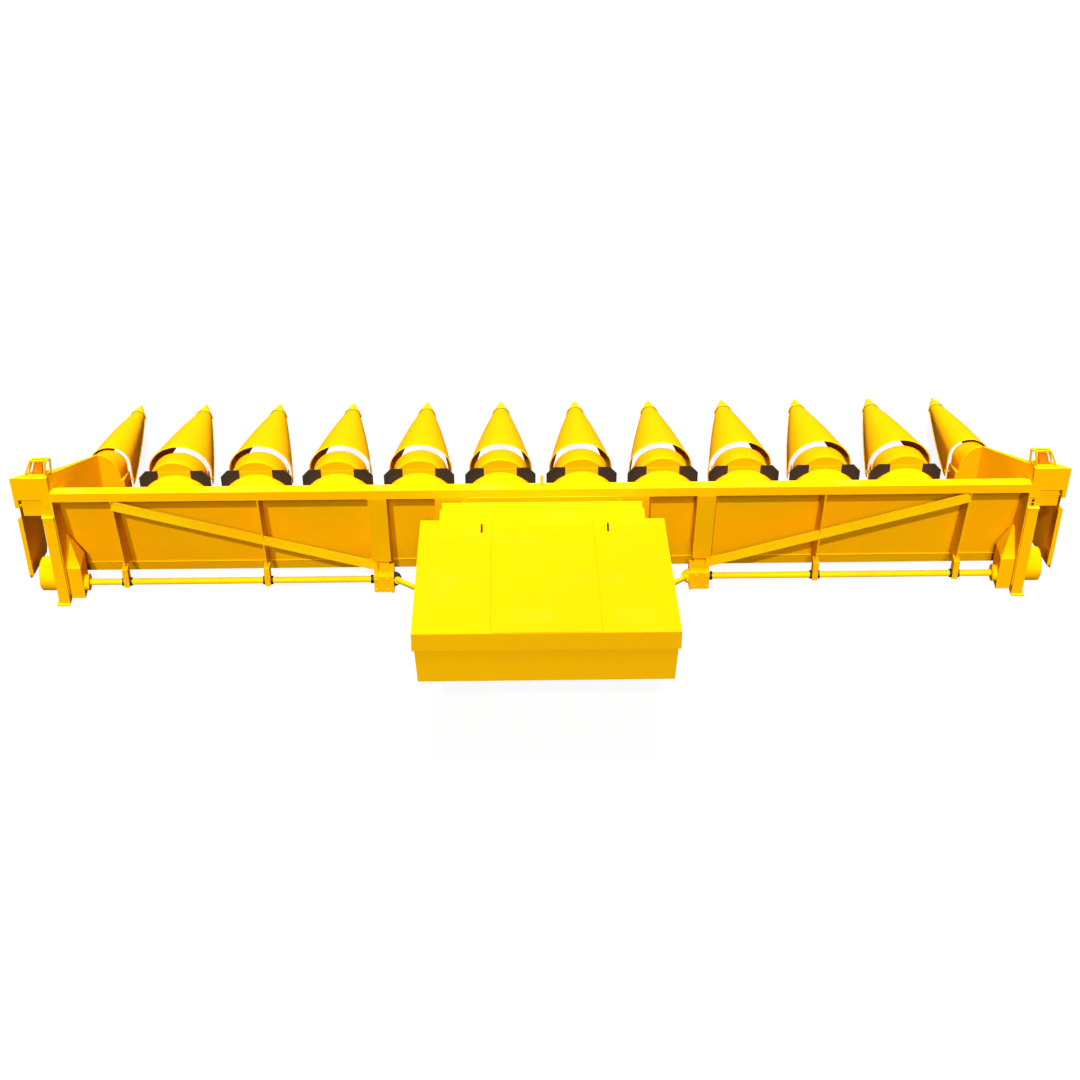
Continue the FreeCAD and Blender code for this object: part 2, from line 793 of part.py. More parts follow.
def make_snouts():
    """Twelve divider points, numbered from the left."""
    centre = make_snout(snout_half_width, snout_cap_half_width, 0.0)
    right_end = make_snout(end_snout_half_width, end_snout_cap_half_width, end_snout_drift)
    for number, x in enumerate(divider_centres(), start=1):
        snout = centre.copy()
        if number == 1:
            snout = mirrored(right_end)
        if number == divider_count:
            snout = right_end.copy()
        snout.translate(V(x, 0, 0))
        save("snout_%02d" % number, snout)


def make_hood():
    """One row hood round X = 0: low rear dome, bulkhead, upright step and the front arch."""
    low = hood_side_low_z
    half = hood_half_width
    step_y = hood_step_y
    front = arch_shell((
        (0.0, step_y, half, low, hood_step_top_z - hood_rise, hood_step_top_z),
        (0.0, snout_rear_y + hood_front_gap, half, low, hood_front_top_z - hood_rise,
         hood_front_top_z)), hood_wall, rear_wall=hood_wall)
    dome_low = low + 40.0
    dome = arch_shell((
        (0.0, step_y - dome_length, dome_half_width, dome_low, dome_rear_top_z - dome_rise,
         dome_rear_top_z),
        (0.0, step_y - hood_wall + 1.0, dome_half_width, dome_low, dome_top_z - dome_rise,
         dome_top_z)), hood_wall)
    edge = flap_span / 2 - 14.0
    chamfer_z = flap_top_z - flap_chamfer - 12.0
    bulkhead = cross_plate([
        (-edge, dome_low + 3.0), (-edge, chamfer_z), (-edge + 66.0, flap_top_z - 18.0),
        (edge - 66.0, flap_top_z - 18.0), (edge, chamfer_z), (edge, dome_low + 3.0)],
        step_y - hood_wall, step_y)
    return joined([front, bulkhead, dome])


def make_hoods():
    """Ten like hoods between the rows."""
    first = make_hood()
    hoods = []
    for x in divider_centres()[1:-1]:
        copy = first.copy()
        copy.translate(V(x, 0, 0))
        hoods.append(copy)
    save("row_hoods", *hoods)


def end_hood_ring(y, half_width, rise, middle_x, top_z, ledge, ledge_z, inset):
    """Corners of the right end hood's section: upright sides, a ledge on the row side and a round
    crown over it. The ledge is its width, and inset draws the whole outline in."""
    foot_x = divider_centres()[-1] - end_hood_drift - end_hood_half_width + inset
    outer_x = divider_centres()[-1] - end_hood_drift + end_hood_half_width - inset
    low = hood_side_low_z - (inset + 1.0 if inset else 0.0)
    centre_z = top_z - rise
    points = [(foot_x, low), (foot_x, ledge_z - inset), (foot_x + ledge, ledge_z + 8.0 - inset)]
    steps = crown_facets // 2
    for n in range(steps + 1):
        turn = math.radians(90.0 * n / steps)
        points.append((middle_x - (half_width - inset) * math.cos(turn),
                       centre_z + (rise - inset) * math.sin(turn)))
    for n in range(1, steps + 1):
        turn = math.radians(90.0 * n / steps)
        points.append((middle_x + (outer_x - middle_x) * math.sin(turn),
                       top_z - inset - (top_z - end_hood_ledge_front_z - 120.0)
                       * (1.0 - math.cos(turn))))
    points.append((outer_x, low))
    return [V(x, y, z) for x, z in points]


def make_end_hoods():
    """The hoods behind the end dividers: a tall rear face that narrows forwards into a round rim,
    with a ledge along the side towards the row."""
    x = divider_centres()[-1] - end_hood_drift
    rear_x = x + 48.0
    front_y = snout_rear_y + hood_front_gap

    def ring(inset, rear_shift, front_shift):
        rear = end_hood_ring(end_hood_rear_y + rear_shift, end_hood_rear_half_width,
                             end_hood_rear_rise, rear_x, end_hood_top_z, 26.0,
                             end_hood_ledge_rear_z, inset)
        front = end_hood_ring(front_y + front_shift, end_hood_half_width - 2.0,
                              end_hood_half_width - 2.0, x, end_hood_front_top_z, 2.0,
                              end_hood_ledge_front_z, inset)
        return [rear, front]

    shell = between(ring(0.0, 0.0, 0.0)).cut(between(ring(hood_wall, hood_wall, 1.0)))
    save("end_hoods", both(shell))


def make_ear_flaps():
    """The pairs of black rubber flaps that stand beside each hood and keep the ears in."""
    hug = (dome_half_width ** 2 + dome_rise ** 2) / (2 * dome_rise) + flap_clearance
    centre_z = dome_top_z + flap_clearance - hug
    chamfer = flap_chamfer
    outer = flap_span / 2
    outline = [(flap_inner_x, flap_top_z), (outer - chamfer + 10.0, flap_top_z),
               (outer, flap_top_z - chamfer), (outer, flap_bottom_z),
               (flap_inner_x, flap_bottom_z)]
    back = hood_step_y - hood_wall
    blank = cross_plate(outline, back - flap_thickness, back)
    cut = Part.makeCylinder(hug, 4 * flap_thickness, V(0, back - 2 * flap_thickness, centre_z),
                            V(0, 1, 0))
    side = block(-dome_half_width - 4.0, dome_half_width + 4.0, back - 2 * flap_thickness,
                 back + flap_thickness, 0.0, dome_top_z - dome_rise)
    flap = blank.cut(cut).cut(side)
    flaps = []
    for x in divider_centres()[1:-1]:
        pair = both(flap)
        pair.translate(V(x, 0, 0))
        flaps.append(pair)
    save("ear_flaps", *flaps)


# ---- drive ---------------------------------------------------------------------------------
def input_points():
    """The two ends of the slanting input shaft on the right side."""
    start = V(upright_x - gearbox_inner, shaft_y, shaft_z)
    return start, V(input_end_x, input_end_y, input_end_z)


def make_gearboxes():
    """The two gearboxes under the uprights, with neck, flange and the input coupling guard."""
    x0 = upright_x - gearbox_inner
    x1 = upright_x + gearbox_outer
    y0 = shaft_y - gearbox_rear
    y1 = shaft_y + gearbox_front
    z0 = gearbox_low_z
    z1 = gearbox_top_z
    flange_x = x0 + gearbox_flange
    body = block(flange_x, x1, y0, y1, z0, z1)
    flange = block(x0, flange_x, y0 - gearbox_rim, y1, z0 - gearbox_rim, z1 + gearbox_rim)
    neck = block(x0 + neck_inner_step, x1 - neck_outer_step, y1 - neck_overlap, y1 + neck_reach,
                 z1, upright_foot_z)
    sump = block(x0 + sump_inner_step, x1 - sump_outer_step, y0 + sump_rear_step,
                 y1 - sump_front_step, z0 - sump_depth, z0)
    start, end = input_points()
    along = (end - start).normalize()
    guard = Part.makeCone(guard_root_radius, guard_end_radius, guard_length,
                          start - along * guard_sink, along)
    whole = joined([body, flange, neck, sump, guard])
    cross_end = x0 + cross_shaft_seat - shaft_end_gap
    whole = whole.cut(rod(V(cross_end, shaft_y, shaft_z), V(x1 + shaft_end_gap, shaft_y, shaft_z),
                          shaft_radius + running_clearance))
    whole = whole.cut(rod(start - along * (input_overlap + shaft_end_gap),
                          start + along * collar_start, input_radius + input_clearance))
    save("gearboxes", both(whole))


def make_cross_shafts():
    """The long shafts from the gearboxes out to the chain cases."""
    x0 = upright_x - gearbox_inner + cross_shaft_seat
    x1 = chain_case_inner_x + cross_shaft_reach
    shaft = rod(V(x0, shaft_y, shaft_z), V(x1, shaft_y, shaft_z), shaft_radius)
    save("right_cross_shaft", shaft)
    save("left_cross_shaft", mirrored(shaft))


def make_input_shafts():
    """The slanting shafts between gearbox and crop housing."""
    start, end = input_points()
    along = (end - start).normalize()
    shaft = rod(start - along * input_overlap, end + along * input_overlap, input_radius)
    collar = rod(start + along * collar_start, start + along * (collar_start + collar_width),
                 input_radius + collar_step)
    shaft = shaft.fuse(collar).removeSplitter()
    save("right_input_shaft", shaft)
    save("left_input_shaft", mirrored(shaft))


def make_bearings():
    """Black bearing sleeves through the hangers and the rings beside the gearboxes."""
    rings = []
    gear_face = upright_x + gearbox_outer
    reach = bearing_length + hanger_width / 2
    for x0, x1 in ((inner_rib_x - reach, inner_rib_x + reach),
                   (outer_rib_x - reach, outer_rib_x + reach), (gear_face, gear_face + 32.0)):
        ring = rod(V(x0, shaft_y, shaft_z), V(x1, shaft_y, shaft_z), bearing_radius)
        bore = rod(V(x0, shaft_y, shaft_z), V(x1, shaft_y, shaft_z),
                   shaft_radius + running_clearance)
        rings.append(ring.cut(bore))
    save("shaft_bearings", both(Part.makeCompound(rings)))


# ---- ends ----------------------------------------------------------------------------------

def make_chain_cases():
    """The tapering chain cases inside the end walls, each with its bearing flange."""
    x0 = chain_case_inner_x
    x1 = end_wall_x
    y0 = chain_case_rear_y
    y1 = chain_case_front_y
    base = block(x0, x1, y0, y1, chain_case_low_z, chain_case_top_z)
    apex_x = x1 - chain_case_apex_width
    apex_y = y1 - chain_case_apex_depth
    apex_z = chain_case_apex_z
    foot = [V(x0, y0, chain_case_top_z), V(x1, y0, chain_case_top_z),
            V(x1, y1, chain_case_top_z), V(x0, y1, chain_case_top_z)]
    head = [V(apex_x, apex_y, apex_z), V(x1, apex_y, apex_z), V(x1, y1, apex_z),
            V(apex_x, y1, apex_z)]
    crown = between([foot, head])
    flange = rod(V(x0 - case_flange_length, shaft_y, shaft_z), V(x0, shaft_y, shaft_z),
                 case_flange_radius)
    whole = joined([base, crown, flange])
    bore = rod(V(x0 - case_flange_length - shaft_end_gap, shaft_y, shaft_z),
               V(x0 + cross_shaft_reach + shaft_end_gap, shaft_y, shaft_z),
               shaft_radius + running_clearance)
    whole = whole.cut(bore)
    save("chain_cases", both(whole))


def make_drive_covers():
    """The round drive covers outside the end walls, on their necks."""
    neck = rod(V(post_x, drum_y, drum_z), V(drum_inner_x + drum_neck_overlap, drum_y, drum_z),
               drum_neck_radius)
    drum = rod(V(drum_inner_x, drum_y, drum_z), V(drum_outer_x, drum_y, drum_z), drum_radius)
    rim = [edge for edge in drum.Edges
           if edge.BoundBox.XMin > drum_outer_x - 1.0 and edge.BoundBox.XLength < 1.0]
    drum = drum.makeChamfer(drum_chamfer, rim)
    whole = joined([neck, drum])
    save("drive_covers", both(whole))


def make_posts():
    """The square parking posts with foot, cap, and the head block that carries box and panel."""
    x0 = post_x
    x1 = x0 + post_size
    y0 = post_rear_y
    y1 = y0 + post_size
    foot_top = floor_z + foot_thickness
    tube = block(x0, x1, y0, y1, foot_top, post_height)
    bore = block(x0 + post_wall, x1 - post_wall, y0 + post_wall, y1 - post_wall, foot_top,
                 post_height)
    cap = block(x0, x1 + post_cap_lip, y0 - post_cap_lip, y1 + post_cap_lip, post_height,
                head_low_z)
    middle_x = (x0 + x1) / 2
    foot_rear_y = y0 - foot_lip
    foot = block(middle_x - foot_width / 2 + foot_lip, middle_x + foot_width / 2, foot_rear_y,
                 foot_rear_y + foot_length, floor_z, foot_top)
    stem = block(x0, inner_leg_x, beam_rear_y, head_front_y, head_low_z, leg_low_z - stem_drop)
    face = block(inner_leg_x, head_outer_x, beam_rear_y + head_recess, head_front_y, head_low_z,
                 box_low_z - 2 * head_recess)
    core = block(x0, head_outer_x, beam_rear_y + core_recess, head_front_y, head_low_z, box_low_z)
    bracket_low = head_low_z + bracket_rise
    bracket_high = bracket_low + bracket_height
    bracket_front_y = panel_bracket_y + bracket_depth
    bracket_x = head_outer_x - bracket_root
    root = block(bracket_x, head_outer_x, head_front_y, bracket_front_y, bracket_low,
                 bracket_high)
    bracket = block(bracket_x, end_box_outer_x - panel_thickness, panel_bracket_y,
                    bracket_front_y, bracket_low, bracket_high)
    save("parking_posts", both(joined([tube.cut(bore), cap, foot, stem, face, core, root, bracket])))


def upright_prism(outline, z0, z1):
    """An outline in the X-Y plane, from z0 up to z1."""
    points = [V(x, y, z0) for x, y in outline]
    face = Part.Face(Part.makePolygon(points + points[:1]))
    return face.extrude(V(0, 0, z1 - z0))


def make_end_boxes():
    """The end boxes over the posts: tapering outwards in plan, with an outer and an inner leg."""
    y0 = beam_rear_y
    plan = [(post_x, y0), (end_box_outer_x, y0), (end_box_corner_x, end_box_corner_y),
            (post_x, end_box_inner_y)]
    top = upright_prism(plan, box_low_z, end_box_top_z)
    outer = upright_prism([(outer_leg_x, y0), (end_box_outer_x, y0),
                           (outer_leg_x, y0 + box_leg_depth)], leg_low_z, box_low_z)
    inner = block(post_x, inner_leg_x, y0, y0 + inner_leg_depth, leg_low_z, box_low_z)
    save("end_boxes", both(joined([top, outer, inner])))


def make_lamps():
    """A beacon on each end box under a tapering guard of bars that leans towards the middle."""
    base_z = end_box_top_z
    top_z = base_z + guard_height
    thick = guard_bar

    def corners(places, z):
        return [V(x, y, z) for x, y in places]

    low = corners([(4398.0, -568.0), (4570.0, -568.0), (4540.0, -530.0), (4352.0, -502.0)],
                  base_z + thick / 2)
    high = corners([(4374.0, -544.0), (4506.0, -544.0), (4490.0, -514.0), (4342.0, -508.0)],
                   top_z - thick / 2)
    bars = []
    for ring in (low, high):
        for n in range(4):
            bars.append(bar(ring[n], ring[(n + 1) % 4], thick, thick))
    knot = thick * 0.55
    for foot, head in zip(low, high):
        bars.append(bar(foot, head, thick, thick))
        for end in (foot, head):
            bars.append(block(end.x - knot, end.x + knot, end.y - knot, end.y + knot,
                              end.z - thick / 2, end.z + thick / 2))
    save("lamp_guards", both(joined(bars)))
    foot_top = base_z + lamp_foot_height
    foot = upright_prism([(4420.0, -552.0), (4516.0, -552.0), (4506.0, -534.0), (4412.0, -526.0)],
                         base_z, foot_top)
    lens = between([
        corners([(4418.0, -552.0), (4512.0, -552.0), (4503.0, -534.0), (4412.0, -527.0)],
                foot_top),
        corners([(4402.0, -537.0), (4478.0, -537.0), (4470.0, -525.0), (4398.0, -523.0)],
                base_z + lamp_height)])
    save("lamps", both(joined([foot, lens])))


def make_end_panels():
    """The flanged end panels over the drive covers, notched under the end boxes."""
    outline = [(-600.0, 1040.0), (-600.0, 370.0), (-580.0, 318.0), (-500.0, 280.0),
               (60.0, 88.0), (110.0, 130.0), (120.0, 620.0), (-20.0, 1010.0), (-300.0, 1190.0),
               (panel_bracket_y - 4.0, 1190.0), (panel_bracket_y - 4.0, 935.0)]
    outer = end_box_outer_x
    panel = side_plate(outline, outer - panel_thickness, outer)
    inner = outer - panel_lip
    lip = cross_plate([(inner, 370.0), (outer, 370.0), (outer, 1036.0), (inner, 1082.0)],
                      beam_rear_y, beam_rear_y + panel_thickness)
    save("end_panels", both(joined([panel, lip])))


def make_end_shields():
    """The upright shields swept in from each end box to the end hood, with their top flanges."""
    rear = V(4384.0, -560.0, 0)
    front = V(divider_centres()[-1] - end_hood_drift + 48.0, end_hood_rear_y, 0)
    along = (front - rear).normalize()
    level = V(-along.y, along.x, 0)
    length = (front - rear).Length
    t = 6.0
    rear_top = end_box_top_z
    front_top = end_hood_top_z
    over_beam_z = beam_top_z + 2.0
    outline = [(0.0, over_beam_z), (0.0, rear_top), (1.0, front_top), (1.0, 800.0),
               (0.33, 1100.0), (0.27, beam_low_z + 1.0), (0.12, beam_low_z + 1.0),
               (0.12, over_beam_z)]

    def place(share, off, z):
        return rear + along * (share * length) - level * off + V(0, 0, z)

    points = [place(share, 0.0, z) for share, z in outline]
    sheet = Part.Face(Part.makePolygon(points + points[:1])).extrude(level * -t)
    flange = between([
        [place(0.0, 0.0, rear_top - t), place(0.0, 58.0, rear_top - t),
         place(0.0, 58.0, rear_top), place(0.0, 0.0, rear_top)],
        [place(1.0, 0.0, front_top - t), place(1.0, 16.0, front_top - t),
         place(1.0, 16.0, front_top), place(1.0, 0.0, front_top)]])
    beyond = block(post_x, 5000.0, -1000.0, 500.0, 0.0, 2000.0)
    ahead = block(3900.0, post_x, end_hood_rear_y, 500.0, 0.0, 2000.0)
    save("end_shields", both(joined([sheet, flange]).cut(beyond).cut(ahead)))


# ---- crop housing --------------------------------------------------------------------------
def housing_top(y):
    """Height of the housing's top at a place along it."""
    return housing_top_front_z + (housing_front_y - y) * slope


def make_feeder_frame():
    """The frame on the beam that the throat passes through, with its chamfered head plate."""
    half = 960.0
    y0 = beam_rear_y
    y1 = y0 + 60.0
    ring = block(-half, half, y0, y1, 500.0, beam_low_z - back_sheet_thickness)
    hole = block(-throat_half_width, throat_half_width, y0, y1, throat_low_z, throat_top_z)
    plate = cross_plate([(-716.0, 1190.0), (-653.0, 1246.0), (653.0, 1246.0), (716.0, 1190.0)],
                        y0 - 8.0, y0)
    save("feeder_frame", joined([ring.cut(hole), plate]))


def make_throat():
    """The short duct from the back sheet through the frame into the housing."""
    w = housing_wall
    half = throat_half_width
    duct = block(-half, half, housing_front_y, -200.0, throat_low_z, throat_top_z)
    bore = block(-half + w, half - w, housing_front_y - 5.0, -190.0,
                 throat_low_z + w, throat_top_z - w)
    ahead = side_plate([(back_sheet_y(1200.0), 1200.0), (back_sheet_y(300.0), 300.0),
                        (100.0, 300.0), (100.0, 1200.0)], -half - 5.0, half + 5.0)
    save("throat_duct", duct.cut(bore).cut(ahead))


def housing_ring(half, y, z0, z1, taper):
    """A cross-section of the housing's body, narrower at its floor."""
    return [V(-half, y, z1), V(half, y, z1), V(half - taper, y, z0), V(-half + taper, y, z0)]


def make_housing():
    """The crop housing's body: a tapering box with a throat window and a floor outlet."""
    half = housing_half_width - body_inset
    w = housing_wall
    front = housing_front_y
    rear = housing_rear_y + body_inset
    drop = housing_height
    outer = between([
        housing_ring(half, front, housing_top(front) - drop, housing_top(front) - w, body_taper),
        housing_ring(half, rear, housing_top(rear) - drop, housing_top(rear) - w, body_taper)])
    inner_front = front - w
    inner_rear = rear + w
    inner = between([
        housing_ring(half - w, inner_front, housing_top(inner_front) - drop + w,
                     housing_top(inner_front) + w, body_taper),
        housing_ring(half - w, inner_rear, housing_top(inner_rear) - drop + w,
                     housing_top(inner_rear) + w, body_taper)])
    window = block(-throat_half_width, throat_half_width, front - 2 * w, front + w,
                   throat_low_z, throat_top_z - w)
    outlet_half = half + body_inset - outlet_step
    outlet_rear = rear + outlet_rear_gap
    outlet = block(-outlet_half, outlet_half, outlet_rear, outlet_rear + outlet_length, 0.0,
                   housing_top(rear) - outlet_depth)
    stub = []
    start, end = input_points()
    along = (end - start).normalize()
    for mirror in (False, True):
        socket = bar(end - along * (socket_length / 2), end + along * (socket_length / 2),
                     socket_size, socket_size)
        seat = block(end.x - seat_size / 2, end.x + seat_size / 2, end.y - seat_size / 2,
                     end.y + seat_size / 2, end.z, end.z + seat_height)
        piece = socket.fuse(seat).cut(outer)
        piece = piece.cut(rod(end - along * socket_bore_reach, end + along * socket_bore_reach,
                              input_radius + input_clearance))
        stub.append(mirrored(piece) if mirror else piece)
    body = outer.cut(inner).cut(window).cut(outlet)
    lower = [solid for piece in stub for solid in piece.Solids if solid.BoundBox.ZMin < end.z]
    save("housing_body", joined([body] + lower))


def make_cover():
    """The flanged cover over the body, with the hatch opening and the two lifting fins."""
    half = housing_half_width
    w = housing_wall
    front = housing_front_y
    rear = housing_rear_y

    def profile(lift, drop, y0, y1):
        return [(y0, housing_top(y0) + lift), (y1, housing_top(y1) + lift),
                (y1, housing_top(y1) - drop), (y0, housing_top(y0) - drop)]

    outer = side_plate(profile(0.0, cover_flange, front, rear), -half, half)
    inner = side_plate(profile(-w, cover_flange + 50.0, front + 5.0, rear + body_inset),
                       -half + body_inset, half - body_inset)
    throat = block(-throat_half_width - w, throat_half_width + w, front - 60.0, front + 10.0,
                   0.0, throat_top_z)
    hatch = side_plate(profile(10.0, 20.0, front - 60.0, rear + 60.0),
                       -hatch_half_width + 45.0, hatch_half_width - 45.0)
    cover = outer.cut(inner).cut(throat).cut(hatch)
    y0 = front - fin_front
    y1 = y0 - fin_length
    fin_outline = [(y0, housing_top(y0) - fin_sink), (y1, housing_top(y1) - fin_sink),
                   (y1 + fin_length / 6, housing_top(y1) + fin_low_rise),
                   (y0 - fin_length / 4, housing_top(y0) + fin_high_rise)]
    fins = []
    for x in (-fin_x, fin_x):
        fins.append(side_plate(fin_outline, x - fin_thickness / 2, x + fin_thickness / 2))
    save("housing_cover", joined([cover] + fins))


def make_hatch():
    """The long hatch along the middle of the cover, hinged at its front edge."""
    front = housing_front_y - 12.0
    rear = housing_rear_y + 3.0
    low = seat_gap
    high = seat_gap + hatch_thickness
    outline = [(front, housing_top(front) + low), (rear, housing_top(rear) + low),
               (rear, housing_top(rear) + high), (front, housing_top(front) + high)]
    save("housing_hatch", side_plate(outline, -hatch_half_width, hatch_half_width))


def main():
    """Build and write every node."""
    make_top_beam()
    make_back_sheet()
    make_uprights()
    brace = brace_solid()
    save("diagonal_braces", both(brace))
    make_ribs(brace)
    make_toolbar()
    make_trough()
    make_end_walls()
    make_auger()
    make_row_frames()
    make_decks()
    make_chains()
    make_rolls()
    make_skids()
    make_snouts()
    make_hoods()
    make_end_hoods()
    make_ear_flaps()
    make_gearboxes()
    make_cross_shafts()
    make_input_shafts()
    make_bearings()
    make_chain_cases()
    make_drive_covers()
    make_posts()
    make_end_boxes()
    make_lamps()
    make_end_panels()
    make_end_shields()
    make_feeder_frame()
    make_throat()
    make_housing()
    make_cover()
    make_hatch()


main()
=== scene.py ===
# %% [markdown]
# # The looks of a maize header
#
# The imported CAD model is the frame: every size and place comes from it. This script gives each node
# a finish built from nodes, swaps the faceted hoods and divider points for smooth ones, and adds
# the bolts, beads, boots and throat lip that the CAD model leaves out. Dark bent bars beside the
# housing's fins are painted shade.

# %% The frame
import math

import bpy
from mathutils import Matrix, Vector


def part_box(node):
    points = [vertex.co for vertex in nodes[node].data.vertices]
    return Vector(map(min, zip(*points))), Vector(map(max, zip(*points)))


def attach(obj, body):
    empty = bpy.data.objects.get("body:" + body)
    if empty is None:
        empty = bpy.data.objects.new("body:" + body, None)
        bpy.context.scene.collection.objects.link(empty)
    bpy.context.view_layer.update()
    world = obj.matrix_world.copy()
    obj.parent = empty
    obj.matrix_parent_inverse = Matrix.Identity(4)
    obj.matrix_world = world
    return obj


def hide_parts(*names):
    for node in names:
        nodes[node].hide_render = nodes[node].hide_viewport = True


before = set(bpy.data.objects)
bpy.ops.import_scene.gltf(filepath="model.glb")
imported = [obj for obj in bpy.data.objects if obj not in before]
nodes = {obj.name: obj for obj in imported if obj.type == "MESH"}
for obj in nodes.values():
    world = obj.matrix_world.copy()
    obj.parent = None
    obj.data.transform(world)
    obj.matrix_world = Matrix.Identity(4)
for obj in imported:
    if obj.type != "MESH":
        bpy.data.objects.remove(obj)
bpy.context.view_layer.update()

# %% [markdown]
# ## Shader values as plain arithmetic
#
# `Wire` wraps one socket, so that `mask * 0.4 + 0.2` adds the nodes that work it out. `Finish` is a
# material under construction: it adds any node by its type, and holds the few mixes used below.


# %% Shader helpers
def feed(tree, socket, value):
    """Links a wire to a socket, or sets a plain value on it."""
    if isinstance(value, Wire):
        tree.links.new(value.socket, socket)
    elif hasattr(socket.default_value, "__len__") and len(socket.default_value) == 4:
        socket.default_value = (*value[:3], 1.0)
    else:
        socket.default_value = value


class Wire:
    """One shader value."""

    def __init__(self, tree, socket):
        self.tree = tree
        self.socket = socket

    def maths(self, kind, *values, clamp=False):
        node = self.tree.nodes.new("ShaderNodeMath")
        node.operation = kind
        node.use_clamp = clamp
        for place, value in enumerate(values):
            feed(self.tree, node.inputs[place], value)
        return Wire(self.tree, node.outputs[0])

    def __add__(self, other):
        return self.maths("ADD", self, other)

    def __radd__(self, other):
        return self.maths("ADD", other, self)

    def __sub__(self, other):
        return self.maths("SUBTRACT", self, other)

    def __rsub__(self, other):
        return self.maths("SUBTRACT", other, self)

    def __mul__(self, other):
        return self.maths("MULTIPLY", self, other)

    def limited(self):
        """The value kept between 0 and 1."""
        return self.maths("ADD", self, 0.0, clamp=True)


class Finish:
    """A material under construction."""

    def __init__(self, name):
        self.material = bpy.data.materials.new(name)
        self.material.use_nodes = True
        self.tree = self.material.node_tree
        self.shader = self.tree.nodes["Principled BSDF"]

    def sheen(self, level, tint):
        """How strongly a coloured finish mirrors its surroundings, and in what tint."""
        self.shader.inputs["Specular IOR Level"].default_value = level
        self.shader.inputs["Specular Tint"].default_value = (*tint, 1.0)

    def node(self, kind, output=0, settings=None, sockets=None):
        """Adds any node, sets it and gives back one of its outputs."""
        made = self.tree.nodes.new(kind)
        for key, value in (settings or {}).items():
            setattr(made, key, value)
        for key, value in (sockets or {}).items():
            feed(self.tree, made.inputs[key], value)
        return Wire(self.tree, made.outputs[output])

    def place(self, stretch=(1.0, 1.0, 1.0)):
        """Where a point lies on its own piece, in metres, stretched along the axes."""
        here = self.node("ShaderNodeTexCoord", "Object")
        return self.node("ShaderNodeVectorMath", settings={"operation": "MULTIPLY"},
                         sockets={0: here, 1: stretch})

    def noise(self, scale, detail=3.0, stretch=(1.0, 1.0, 1.0), rough=0.5):
        """Cloudy values round 0.5, scale blobs to the metre."""
        return self.node("ShaderNodeTexNoise", "Fac", sockets={
            "Vector": self.place(stretch), "Scale": scale, "Detail": detail, "Roughness": rough})

    def between(self, value, low, high):
        """0 below low, 1 above high, smooth between them."""
        return self.node("ShaderNodeMapRange", settings={"interpolation_type": "SMOOTHSTEP"},
                         sockets={0: value, 1: low, 2: high, 3: 0.0, 4: 1.0})

    def mix(self, share, first, second):
        """One colour turning into another: sockets 0, 6 and 7 take the share and the two."""
        return self.node("ShaderNodeMix", 2, settings={"data_type": "RGBA"},
                         sockets={0: share, 6: first, 7: second})

    def edges(self, reach):
        """1 along the edges of a piece, fading over reach metres."""
        rounded = self.node("ShaderNodeBevel", settings={"samples": 4}, sockets={"Radius": reach})
        flat = self.node("ShaderNodeNewGeometry", "Normal")
        agree = self.node("ShaderNodeVectorMath", "Value", settings={"operation": "DOT_PRODUCT"},
                          sockets={0: rounded, 1: flat})
        return ((1.0 - agree) * 5.0).limited()

    def upward(self):
        """1 on faces that look up, 0 on upright and hanging ones."""
        normal = self.node("ShaderNodeNewGeometry", "Normal")
        return self.node("ShaderNodeSeparateXYZ", 2, sockets={0: normal}).limited()

    def bump(self, height, depth):
        """A fine relief from a value, depth metres deep."""
        return self.node("ShaderNodeBump", sockets={"Height": height, "Distance": depth,
                                                    "Strength": 1.0})

    def done(self, **sockets):
        """Feeds the shader and gives back the material."""
        for key, value in sockets.items():
            feed(self.tree, self.shader.inputs[key.replace("_", " ")], value)
        return self.material


# %% [markdown]
# ## Finishes
#
# Yellow enamel covers nearly everything. It fades a little in broad patches, gathers dust where it
# looks up, and is lighter along its edges: partly rubbed wear, partly a painted highlight. The
# moulded hoods are smoother and glossier.


# %% Enamel and moulded yellow
worn_tone = (0.72, 0.36, 0.004)
dust_tone = (0.75, 0.62, 0.4)
highlight_and_wear_tone = (1.0, 0.60, 0.004)
bare_tone = (0.42, 0.26, 0.08)
scratch_tone = (1.0, 0.74, 0.10)
scuff_tone = (0.55, 0.30, 0.02)


def enamel(name, colour, deep, reach=0.012, patches=0.9, peel=160.0, rough=0.42, dusty=0.05):
    """Yellow paint on steel, from its clean colour to the deeper tone of its patches."""
    paint = Finish(name)
    paint.sheen(0.015, (1.0, 0.66, 0.03))
    broad = paint.between(paint.noise(patches, 4.0), 0.35, 0.7)
    tone = paint.mix(broad, colour, deep)
    fine = paint.between(paint.noise(9.0, 5.0, rough=0.65), 0.52, 0.78)
    tone = paint.mix(fine * 0.16, tone, worn_tone)
    dust = paint.upward() * paint.between(paint.noise(3.0, 6.0), 0.5, 0.8)
    tone = paint.mix(dust * dusty, tone, dust_tone)
    chips = paint.between(paint.noise(34.0, 6.0, rough=0.7), 0.48, 0.62)
    rim = paint.edges(reach)
    # Painted highlight, partly rubbed wear: the paint turns lighter along every edge.
    tone = paint.mix(rim * 0.6, tone, highlight_and_wear_tone)
    bare = rim * paint.between(chips, 0.72, 1.0)
    tone = paint.mix(bare * 0.18, tone, bare_tone)
    relief = paint.noise(peel, 2.0)
    return paint.done(Base_Color=tone, Roughness=rough + fine * 0.14 + dust * 0.2 - rim * 0.08,
                      Metallic=0.0, Normal=paint.bump(relief, 0.0004))


